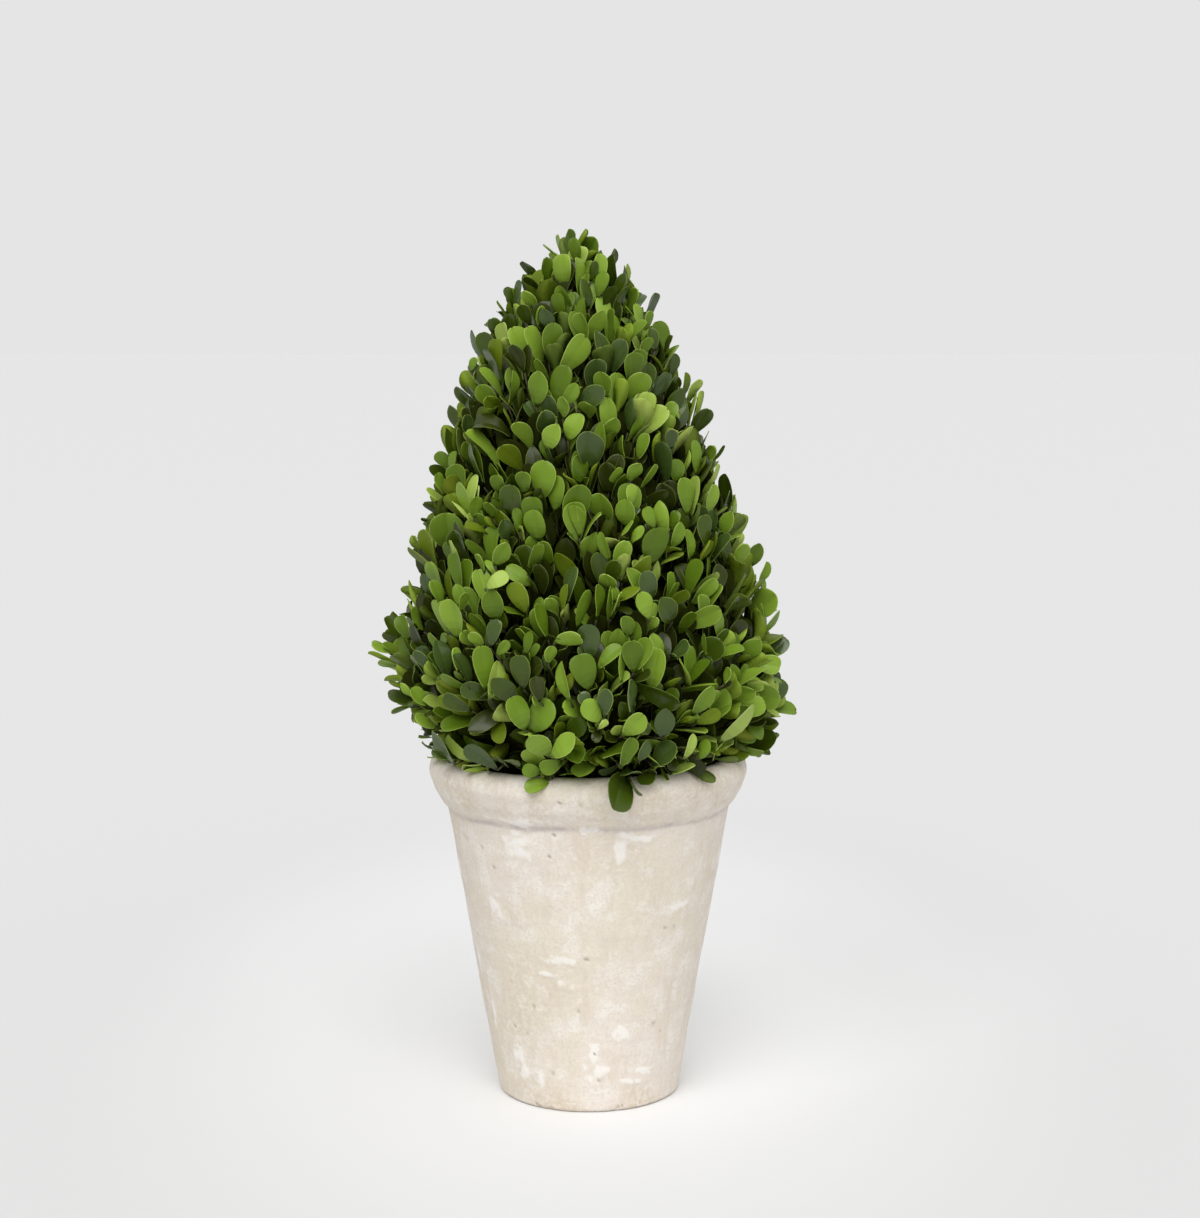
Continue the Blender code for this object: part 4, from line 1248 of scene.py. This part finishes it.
# Leaves that stand out in the photo, the nearer first: tint, the pixels of the leaf's base and of its tip,
# and its width in pixels as it is seen.
SEEN_LEAVES = (
    # over the rim
    ("deep", 624, 772, 609, 808, 31), ("fresh", 552, 781, 524, 788, 15), ("fresh", 549, 756, 531, 731, 23),
    ("fresh", 550, 757, 578, 738, 21), ("leaf", 526, 731, 514, 697, 25), ("leaf", 529, 732, 551, 703, 28),
    ("lime", 483, 764, 443, 745, 8), ("grey", 498, 770, 468, 740, 18), ("deep", 460, 757, 433, 748, 18),
    ("leaf", 564, 762, 540, 770, 16), ("leaf", 541, 773, 525, 770, 14), ("fresh", 592, 760, 578, 779, 22),
    ("dusk", 505, 708, 468, 730, 19), ("deep", 472, 711, 444, 697, 17), ("leaf", 474, 692, 440, 677, 9),
    ("leaf", 428, 706, 412, 689, 15), ("fresh", 438, 728, 414, 718, 12), ("mid", 412, 706, 391, 711, 7),
    ("fresh", 412, 697, 399, 685, 8), ("fresh", 404, 653, 371, 646, 8), ("fresh", 412, 672, 380, 656, 5),
    ("leaf", 400, 657, 385, 641, 9), ("grey", 455, 765, 430, 733, 9), ("lime", 684, 759, 698, 736, 10),
    ("leaf", 698, 759, 710, 740, 14), ("lime", 670, 774, 695, 763, 8), ("lime", 718, 744, 757, 706, 15),
    ("grey", 652, 765, 676, 744, 23), ("grey", 638, 762, 652, 742, 12), ("grey", 662, 738, 666, 706, 21),
    ("fresh", 602, 722, 583, 702, 20), ("lime", 598, 729, 608, 721, 7), ("fresh", 622, 736, 646, 716, 20),
    ("leaf", 738, 748, 764, 753, 9), ("deep", 742, 752, 778, 738, 24), ("leaf", 748, 720, 763, 738, 14),
    ("mid", 620, 768, 634, 738, 16), ("deep", 655, 772, 640, 786, 16), ("mid", 598, 758, 634, 742, 12),
    # the lower third
    ("fresh", 458, 640, 456, 598, 24), ("mid", 548, 640, 538, 604, 14), ("fresh", 554, 643, 580, 632, 18),
    ("leaf", 486, 692, 483, 645, 22), ("deep", 519, 701, 493, 678, 22), ("lime", 489, 700, 506, 664, 18),
    ("deep", 524, 690, 519, 655, 22), ("dusk", 540, 702, 536, 677, 17), ("fresh", 571, 702, 556, 664, 12),
    ("grey", 490, 648, 493, 619, 16), ("fresh", 484, 646, 470, 632, 12), ("leaf", 497, 656, 508, 640, 11),
    ("mid", 525, 655, 533, 632, 10), ("leaf", 548, 664, 552, 646, 13), ("grey", 448, 681, 442, 640, 18),
    ("grey", 430, 672, 418, 648, 12), ("fresh", 459, 673, 455, 648, 10), ("grey", 470, 690, 464, 652, 10),
    ("mid", 633, 673, 634, 638, 22), ("leaf", 635, 673, 650, 637, 18), ("fresh", 652, 691, 658, 648, 27),
    ("fresh", 622, 685, 620, 643, 8), ("leaf", 597, 670, 618, 643, 14), ("deep", 630, 682, 678, 702, 18),
    ("mid", 590, 691, 580, 655, 26), ("grey", 590, 660, 592, 623, 22), ("grey", 604, 718, 607, 687, 16),
    ("grey", 592, 708, 582, 693, 13), ("grey", 631, 716, 634, 680, 10), ("fresh", 680, 628, 722, 608, 20),
    ("fresh", 690, 606, 713, 575, 13), ("lime", 688, 596, 714, 567, 6), ("leaf", 700, 613, 723, 585, 8),
    ("fresh", 747, 619, 781, 596, 27), ("fresh", 752, 663, 779, 666, 19), ("leaf", 745, 690, 775, 699, 25),
    ("grey", 773, 706, 786, 683, 13), ("fresh", 728, 696, 758, 660, 12), ("leaf", 724, 685, 730, 667, 9),
    ("leaf", 692, 716, 714, 685, 14), ("olive", 695, 724, 720, 711, 15), ("grey", 670, 656, 692, 645, 14),
    ("deep", 672, 622, 665, 602, 22), ("mid", 685, 686, 712, 660, 12), ("leaf", 673, 693, 715, 672, 9),
    ("leaf", 712, 660, 740, 640, 8), ("leaf", 742, 656, 761, 640, 18), ("leaf", 705, 657, 708, 633, 5),
    ("deep", 402, 641, 387, 617, 13), ("mid", 410, 640, 398, 617, 14), ("leaf", 424, 632, 411, 608, 10),
    ("fresh", 612, 590, 607, 574, 17), ("olive", 613, 601, 639, 586, 12), ("fresh", 650, 620, 640, 592, 17),
    ("grey", 652, 600, 644, 575, 21), ("leaf", 578, 630, 584, 588, 13), ("mid", 596, 620, 607, 586, 8),
    ("mid", 632, 636, 624, 615, 16), ("mid", 634, 648, 637, 622, 16), ("mid", 497, 620, 491, 589, 22),
    ("lime", 485, 589, 507, 573, 16), ("olive", 527, 615, 514, 583, 20), ("leaf", 533, 586, 508, 566, 17),
    ("fresh", 446, 599, 428, 562, 8), ("leaf", 444, 606, 433, 580, 13), ("grey", 432, 600, 427, 572, 12),
    ("leaf", 460, 612, 466, 590, 10), ("grey", 566, 606, 570, 566, 12), ("olive", 563, 617, 568, 584, 7),
    # the middle
    ("grey", 588, 471, 593, 429, 29), ("mid", 573, 530, 574, 482, 28), ("mid", 580, 485, 583, 455, 18),
    ("leaf", 541, 501, 545, 461, 26), ("leaf", 555, 513, 557, 476, 20), ("leaf", 538, 541, 536, 511, 23),
    ("mid", 536, 528, 532, 500, 22), ("fresh", 535, 567, 528, 544, 23), ("leaf", 494, 566, 509, 542, 17),
    ("deep", 512, 517, 511, 489, 23), ("leaf", 453, 551, 444, 519, 33), ("leaf", 474, 518, 475, 496, 15),
    ("mid", 493, 518, 491, 500, 14), ("olive", 487, 533, 467, 521, 8), ("mid", 500, 494, 496, 477, 14),
    ("deep", 512, 493, 512, 472, 18), ("mid", 524, 494, 524, 471, 16), ("grey", 505, 541, 506, 520, 16),
    ("mid", 520, 532, 518, 508, 11), ("fresh", 548, 450, 557, 423, 19), ("fresh", 568, 441, 578, 413, 20),
    ("grey", 545, 434, 545, 413, 20), ("leaf", 563, 419, 568, 396, 13), ("mid", 553, 566, 540, 540, 16),
    ("lime", 459, 563, 449, 541, 5), ("leaf", 484, 573, 479, 552, 7), ("lime", 472, 474, 449, 430, 9),
    ("leaf", 455, 470, 437, 453, 14), ("deep", 453, 484, 433, 463, 12), ("leaf", 445, 496, 437, 474, 10),
    ("lime", 450, 508, 428, 488, 8), ("fresh", 502, 476, 479, 424, 9), ("deep", 461, 435, 452, 405, 13),
    ("grey", 468, 435, 465, 414, 13), ("leaf", 605, 439, 616, 416, 18), ("leaf", 626, 443, 645, 417, 8),
    ("leaf", 637, 461, 648, 434, 13), ("mid", 625, 461, 617, 436, 6), ("grey", 665, 487, 668, 441, 16),
    ("grey", 671, 449, 671, 428, 13), ("mid", 675, 483, 681, 460, 15), ("leaf", 696, 476, 702, 441, 12),
    ("lime", 691, 519, 693, 476, 12), ("leaf", 687, 516, 687, 477, 18), ("fresh", 708, 517, 713, 484, 12),
    ("fresh", 666, 536, 655, 502, 16), ("leaf", 655, 529, 645, 508, 14), ("mid", 653, 566, 652, 527, 28),
    ("leaf", 605, 521, 602, 495, 25), ("fresh", 616, 573, 626, 539, 17), ("leaf", 610, 561, 598, 533, 12),
    ("fresh", 629, 544, 645, 528, 10), ("fresh", 620, 537, 634, 521, 6), ("olive", 622, 583, 656, 563, 14),
    ("fresh", 616, 483, 614, 466, 16), ("leaf", 628, 482, 640, 463, 14), ("fresh", 630, 506, 634, 485, 12),
    ("leaf", 627, 527, 624, 503, 20), ("leaf", 640, 490, 652, 462, 7), ("dusk", 641, 504, 667, 489, 12),
    ("leaf", 671, 549, 685, 524, 12), ("leaf", 690, 563, 692, 530, 9), ("deep", 707, 550, 704, 515, 14),
    ("grey", 712, 532, 715, 510, 13), ("leaf", 722, 536, 731, 511, 15), ("fresh", 735, 571, 745, 541, 14),
    ("mid", 747, 569, 758, 542, 16), ("leaf", 758, 586, 770, 563, 9), ("grey", 709, 566, 722, 530, 9),
    ("deep", 727, 513, 731, 474, 13), ("deep", 712, 461, 729, 449, 5), ("leaf", 709, 463, 714, 444, 10),
    ("lime", 705, 488, 724, 468, 6), ("leaf", 662, 421, 676, 403, 14), ("mid", 686, 600, 697, 559, 14),
    ("deep", 690, 439, 706, 405, 16), ("grey", 628, 433, 626, 398, 11), ("mid", 672, 532, 676, 511, 11),
    # the top
    ("leaf", 583, 263, 599, 235, 18), ("leaf", 577, 264, 575, 237, 14), ("mid", 572, 263, 568, 229, 11),
    ("fresh", 564, 288, 561, 255, 20), ("leaf", 557, 257, 546, 243, 3), ("deep", 541, 283, 525, 259, 11),
    ("deep", 541, 291, 526, 273, 9), ("mid", 549, 283, 546, 256, 13), ("deep", 615, 297, 613, 254, 12),
    ("deep", 613, 301, 623, 273, 12), ("deep", 590, 281, 599, 262, 10), ("leaf", 597, 299, 604, 272, 14),
    ("fresh", 577, 306, 585, 260, 9), ("deep", 589, 309, 588, 279, 11), ("deep", 604, 307, 613, 284, 13),
    ("leaf", 573, 313, 559, 285, 14), ("deep", 514, 307, 509, 287, 8), ("grey", 514, 321, 519, 280, 6),
    ("fresh", 537, 307, 524, 290, 12), ("deep", 531, 326, 521, 303, 14), ("fresh", 541, 332, 536, 305, 9),
    ("grey", 552, 333, 547, 308, 15), ("mid", 565, 324, 553, 295, 12), ("leaf", 580, 342, 582, 298, 15),
    ("fresh", 588, 343, 602, 308, 16), ("leaf", 612, 346, 617, 309, 11), ("leaf", 625, 316, 640, 287, 10),
    ("grey", 641, 326, 657, 292, 9), ("leaf", 646, 333, 652, 311, 8), ("mid", 667, 358, 663, 321, 16),
    ("deep", 655, 351, 652, 328, 12), ("fresh", 538, 377, 516, 326, 26), ("fresh", 543, 372, 534, 326, 15),
    ("fresh", 557, 375, 592, 342, 24), ("mid", 549, 363, 555, 324, 20), ("grey", 611, 375, 625, 340, 20),
    ("grey", 591, 393, 595, 355, 22), ("leaf", 606, 399, 604, 370, 18), ("fresh", 630, 403, 643, 370, 24),
    ("leaf", 536, 407, 544, 370, 20), ("mid", 552, 406, 568, 366, 20), ("leaf", 561, 408, 579, 385, 14),
    ("grey", 578, 409, 604, 385, 20), ("leaf", 499, 409, 479, 384, 18), ("deep", 498, 366, 484, 333, 20),
    ("deep", 504, 343, 491, 319, 13), ("grey", 483, 361, 467, 333, 8), ("deep", 481, 409, 453, 392, 12),
    ("fresh", 504, 403, 489, 365, 6), ("leaf", 508, 406, 519, 372, 7), ("grey", 651, 403, 669, 373, 14),
    ("lime", 686, 406, 697, 378, 10), ("olive", 677, 403, 694, 376, 6), ("leaf", 650, 386, 680, 345, 9),
    ("deep", 668, 379, 681, 356, 10), ("leaf", 642, 359, 649, 336, 10), ("leaf", 471, 372, 473, 357, 8),
)
SEEN_SHIFTS = (0.0, 2.0, 4.0, 6.0, 8.0, -2.0, -4.0, -6.0, -8.0)  # in mm, further from the camera if positive
SEEN_LONGEST = 24.0 * MM
SLIMMEST = 0.5  # of its length: a leaf that seems narrower is seen from its side
SEEN_STATIONS = (5, 7)  # rows of a seen leaf that no other leaf may hide
HIDING_REACH = 5.0  # pixels

# Proud of the outline or hanging over the rim: azimuth, height, reach and rise. They are the source's,
# but the second and third reach 1.5 and 3 mm less.
STRAY_TWIGS = (
    (0.0, 408.5 * MM, 2.0 * MM, 86.0),
    (181.0, 212.0 * MM, 99.5 * MM, 25.0),
    (174.0, 184.0 * MM, 91.0 * MM, 8.0),
    (4.0, 168.0 * MM, 91.0 * MM, -4.0),
    (-4.0, 190.0 * MM, 95.0 * MM, 20.0),
    (3.0, 238.0 * MM, 92.0 * MM, 44.0),
    (-9.0, 229.0 * MM, 93.0 * MM, 40.0),
    (-78.0, 152.5 * MM, 84.0 * MM, -42.0),
    (-108.0, 158.0 * MM, 83.0 * MM, -34.0),
)


def grow_crown():
    growth = Growth()
    for row in SEEN_LEAVES:
        grow_seen_leaf(growth, *row)
    growth.shown_array = np.array(growth.shown)
    for azimuth, height, reach, rise in STRAY_TWIGS:
        place = (math.radians(azimuth), height, reach, math.radians(rise))
        grow_sprig(growth, *place, PAIRS, 1.0, STRAY_WANDER, STRAY_SLACK)
    for azimuth, height, radius in spread_places(TWIGS, 0.0):
        radius += proud(height) - slimmer(azimuth, height)
        place = (azimuth, height, radius, twig_rise(height))
        grow_sprig(growth, *place, PAIRS, 1.0, TWIG_WANDER, TWIG_SLACK + max(0.0, proud(height)))
    for index in range(RIM_TWIGS):
        azimuth = 2.0 * math.pi * (index + growth.chance.uniform(-RIM_JITTER, RIM_JITTER)) / RIM_TWIGS
        height = growth.chance.uniform(*RIM_HEIGHTS) * MM
        reach = growth.chance.uniform(*RIM_REACHES) * MM - 0.8 * slimmer(azimuth, height)
        rise = math.radians(growth.chance.uniform(*RIM_RISES))
        grow_sprig(growth, azimuth, height, reach, rise, FILLER_PAIRS, 1.0, RIM_WANDER, RIM_SLACK)
    filler = (FILLER_PAIRS, FILLER_SIZE, FILLER_WANDER)
    for azimuth, height, radius in spread_places(FILLERS, FILLER_START):
        radius += proud(height) - slimmer(azimuth, height) - FILLER_DEPTH
        place = (azimuth, height, radius, twig_rise(height) + FILLER_RISE)
        grow_sprig(growth, *place, *filler, max(0.0, proud(height)), FILLER_SHADE)
    for index in range(LOW_FILLERS):
        height = growth.chance.uniform(*LOW_HEIGHTS) * MM
        place = (index * GOLDEN_ANGLE, height, crown_radius(height) - LOW_DEPTH, twig_rise(height))
        grow_sprig(growth, *place, *filler, 0.0, LOW_SHADE)
    for sprig, pairs in growth.sprigs:  # the inner leaves last, into what room is left
        sprig.grow(growth, range(OUTER_PAIRS, pairs))
    return growth


def join_leaves(name, leaves, materials):
    """One object of many leaves."""
    size = len(leaves[0][0])
    points = np.concatenate([leaf[0] for leaf in leaves])
    points[:, 0] += np.array([lean(z) for z in points[:, 2]])
    faces = np.concatenate([LEAF_FACES + size * index for index in range(len(leaves))])
    slots = np.concatenate([leaf[1] for leaf in leaves])
    return new_object(name, points.tolist(), faces.tolist(), materials, slots.tolist())


def join_twigs(name, twigs, material):
    """One object of many tapering twigs, a little bent."""
    chance = random.Random(SEED + 1)
    points, faces = [], []
    rings, sides = TWIG_RINGS, TWIG_SIDES
    for root, tip in twigs:
        along = (tip - root).normalized()
        across = along.orthogonal().normalized()
        bow = Matrix.Rotation(chance.uniform(0.0, 2.0 * math.pi), 3, along) @ across
        bow *= chance.uniform(0.0, 0.03) * (tip - root).length
        start = len(points)
        for ring in range(rings):
            share = ring / (rings - 1)
            middle = root.lerp(tip, share) + bow * math.sin(math.pi * share)
            radius = TWIG_RADIUS * (1.0 + (TWIG_TIP_SHARE - 1.0) * share)
            radius *= 1.0 + 0.18 * (ring % 2)
            for side in range(sides):
                turn = Matrix.Rotation(2.0 * math.pi * side / sides, 3, along)
                place = middle + turn @ across * radius
                place.x += lean(place.z)
                points.append(tuple(place))
        for ring in range(rings - 1):
            for side in range(sides):
                after = (side + 1) % sides
                low = start + ring * sides
                faces.append((low + side, low + after, low + sides + after, low + sides + side))
        faces.append(tuple(start + side for side in reversed(range(sides))))
        last = start + (rings - 1) * sides
        faces.append(tuple(last + side for side in range(sides)))
    return new_object(name, points, faces, [material])


def build_foliage():
    growth = grow_crown()
    made = []
    short = {SKIRT: "skirt", CONE: "cone"}
    materials = {}
    for tint, (_, upper, under, edge, rough, gloss) in TINTS.items():
        materials[tint] = [
            plain_material(f"leaf_{tint}_upper", upper, rough, Specular_IOR_Level=gloss),
            plain_material(f"leaf_{tint}_under", under, rough + 0.2, Specular_IOR_Level=0.15),
            plain_material(f"leaf_{tint}_edge", edge, rough + 0.1, Specular_IOR_Level=0.2),
        ]
        # painted shade: darker copies of the upper side, for the foot of each leaf
        for zone, share in PAINTED_LEAF_SHADE.items():
            darker = [share * value for value in upper]
            name = f"leaf_{tint}_{zone}"
            materials[tint].append(plain_material(name, darker, rough, Specular_IOR_Level=gloss))
    for (mass, tint), leaves in growth.leaves.items():
        for part, first in enumerate(range(0, len(leaves), MOST_LEAVES)):
            name = f"{short[mass]}_leaves_{tint}" + (f"_{part + 1}" if part else "")
            some = leaves[first : first + MOST_LEAVES]
            made.append((join_leaves(name, some, materials[tint]), mass))
    stem = plain_material("twig_bark", TWIG_COLOUR, 0.8)
    for mass, twigs in growth.twigs.items():
        made.append((join_twigs(f"{short[mass]}_twigs", twigs, stem), mass))
    return made


# ---- Stage ----

FLOOR_SIZE = 40.0
FLOOR_GREY = 3 * (0.614,)
# Painted light round the pot, twice over, a painted pool of light and painted light over the crown's soft
# shadow behind the pot: centre, reach across and in depth, from and to, grey.
PAINTED_LIGHT_POOL = ((0.0, 0.158), (0.29, 0.53), 0.25, 1.0, 3 * (0.73,))
PAINTED_SHADOW_LIFT = ((0.030, 0.125), (0.15, 0.25), 0.0, 1.0, 3 * (0.88,))
BACKDROP = 3 * (0.783,)
GROUND_LIGHT = 3 * (0.35,)
SKY_LIGHT = 3 * (0.85,)
SKY_HEIGHT = 0.85
# Where a lamp shines from, its breadth in degrees and its strength.
LAMPS = {
    "key_light": ((-0.16, -1.0, 1.15), 46.0, 2.15),
    "fill_light": ((0.9, -1.0, 0.4), 60.0, 0.42),
}


def stretched_distance(tree, spot, centre, reach):
    """How far a spot on the floor is from a centre, as a share of the reach across and in depth."""
    scale = (1.0 / reach[0], 1.0 / reach[1], 1.0)
    shift = (-centre[0] * scale[0], -centre[1] * scale[1], 0.0)
    inputs = (("Vector", spot), ("Location", shift), ("Scale", scale))
    spot = make_node(tree, "ShaderNodeMapping", inputs).outputs["Vector"]
    return make_node(tree, "ShaderNodeVectorMath", ((0, spot),), operation="LENGTH").outputs["Value"]


def build_stage():
    """A pale floor with a painted pool of light and painted light over the crown's shadow, a pale world,
    soft lamps and the photo's camera.
    """
    size = FLOOR_SIZE
    corners = [(-size, -size, 0.0), (size, -size, 0.0), (size, size, 0.0), (-size, size, 0.0)]
    paper = plain_material("floor_paper_painted_light", FLOOR_GREY, 0.9)
    tree = paper.node_tree
    spot = make_node(tree, "ShaderNodeTexCoord").outputs["Object"]
    shade = FLOOR_GREY
    # painted light: the floor is made lighter in a pool round the pot and over the crown's shadow
    for centre, reach, low, high, grey in (PAINTED_LIGHT_POOL, PAINTED_SHADOW_LIFT):
        away = ramp(tree, stretched_distance(tree, spot, centre, reach), low, high)
        shade = blend_colours(tree, away, grey, shade)
    tree.links.new(shade, tree.nodes["Principled BSDF"].inputs["Base Color"])
    floor = new_object("floor", corners, [(0, 1, 2, 3)], [paper], smooth_faces=False)
    scene = bpy.context.scene
    world = bpy.data.worlds.new("studio")
    world.use_nodes = True
    tree = world.node_tree
    way = make_node(tree, "ShaderNodeTexCoord").outputs["Generated"]
    sky = make_node(tree, "ShaderNodeSeparateXYZ", (("Vector", way),)).outputs["Z"]
    light = blend_colours(tree, ramp(tree, sky, 0.0, SKY_HEIGHT), GROUND_LIGHT, SKY_LIGHT)
    seen = make_node(tree, "ShaderNodeLightPath").outputs["Is Camera Ray"]
    light = blend_colours(tree, seen, light, BACKDROP)
    tree.links.new(light, tree.nodes["Background"].inputs["Color"])
    scene.world = world
    scene.view_settings.view_transform = "Standard"
    for name, (place, breadth, strength) in LAMPS.items():
        lamp = bpy.data.lights.new(name, "SUN")
        lamp.angle = math.radians(breadth)
        lamp.energy = strength
        holder = bpy.data.objects.new(name, lamp)
        holder.location = place
        holder.rotation_euler = Vector(place).to_track_quat("Z", "Y").to_euler()
        scene.collection.objects.link(holder)
    view = bpy.data.cameras.new("photo_camera")
    view.sensor_fit = "VERTICAL"
    view.sensor_height = SENSOR
    view.lens = FOCAL_PIXELS / PHOTO_HEIGHT * SENSOR
    view.clip_start = 0.01
    camera = bpy.data.objects.new("photo_camera", view)
    camera.location = CAMERA_PLACE
    camera.rotation_euler = (0.5 * math.pi - CAMERA_PITCH, 0.0, 0.0)
    scene.collection.objects.link(camera)
    scene.camera = camera


# ---- Everything ----


build_stage()
for piece, node, finish in (
    (build_pot(), "pot", "aged_terracotta"),
    (build_fill(), "potting_fill", "potting_fill"),
    (build_trunk(), "trunk", "bark"),
):
    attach(piece, BODY)
    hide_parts(node)
skirt_core, cone_core = build_cores()
for piece, mass in [(skirt_core, SKIRT), (cone_core, CONE)] + build_foliage():
    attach(piece, BODY)
    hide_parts(mass)
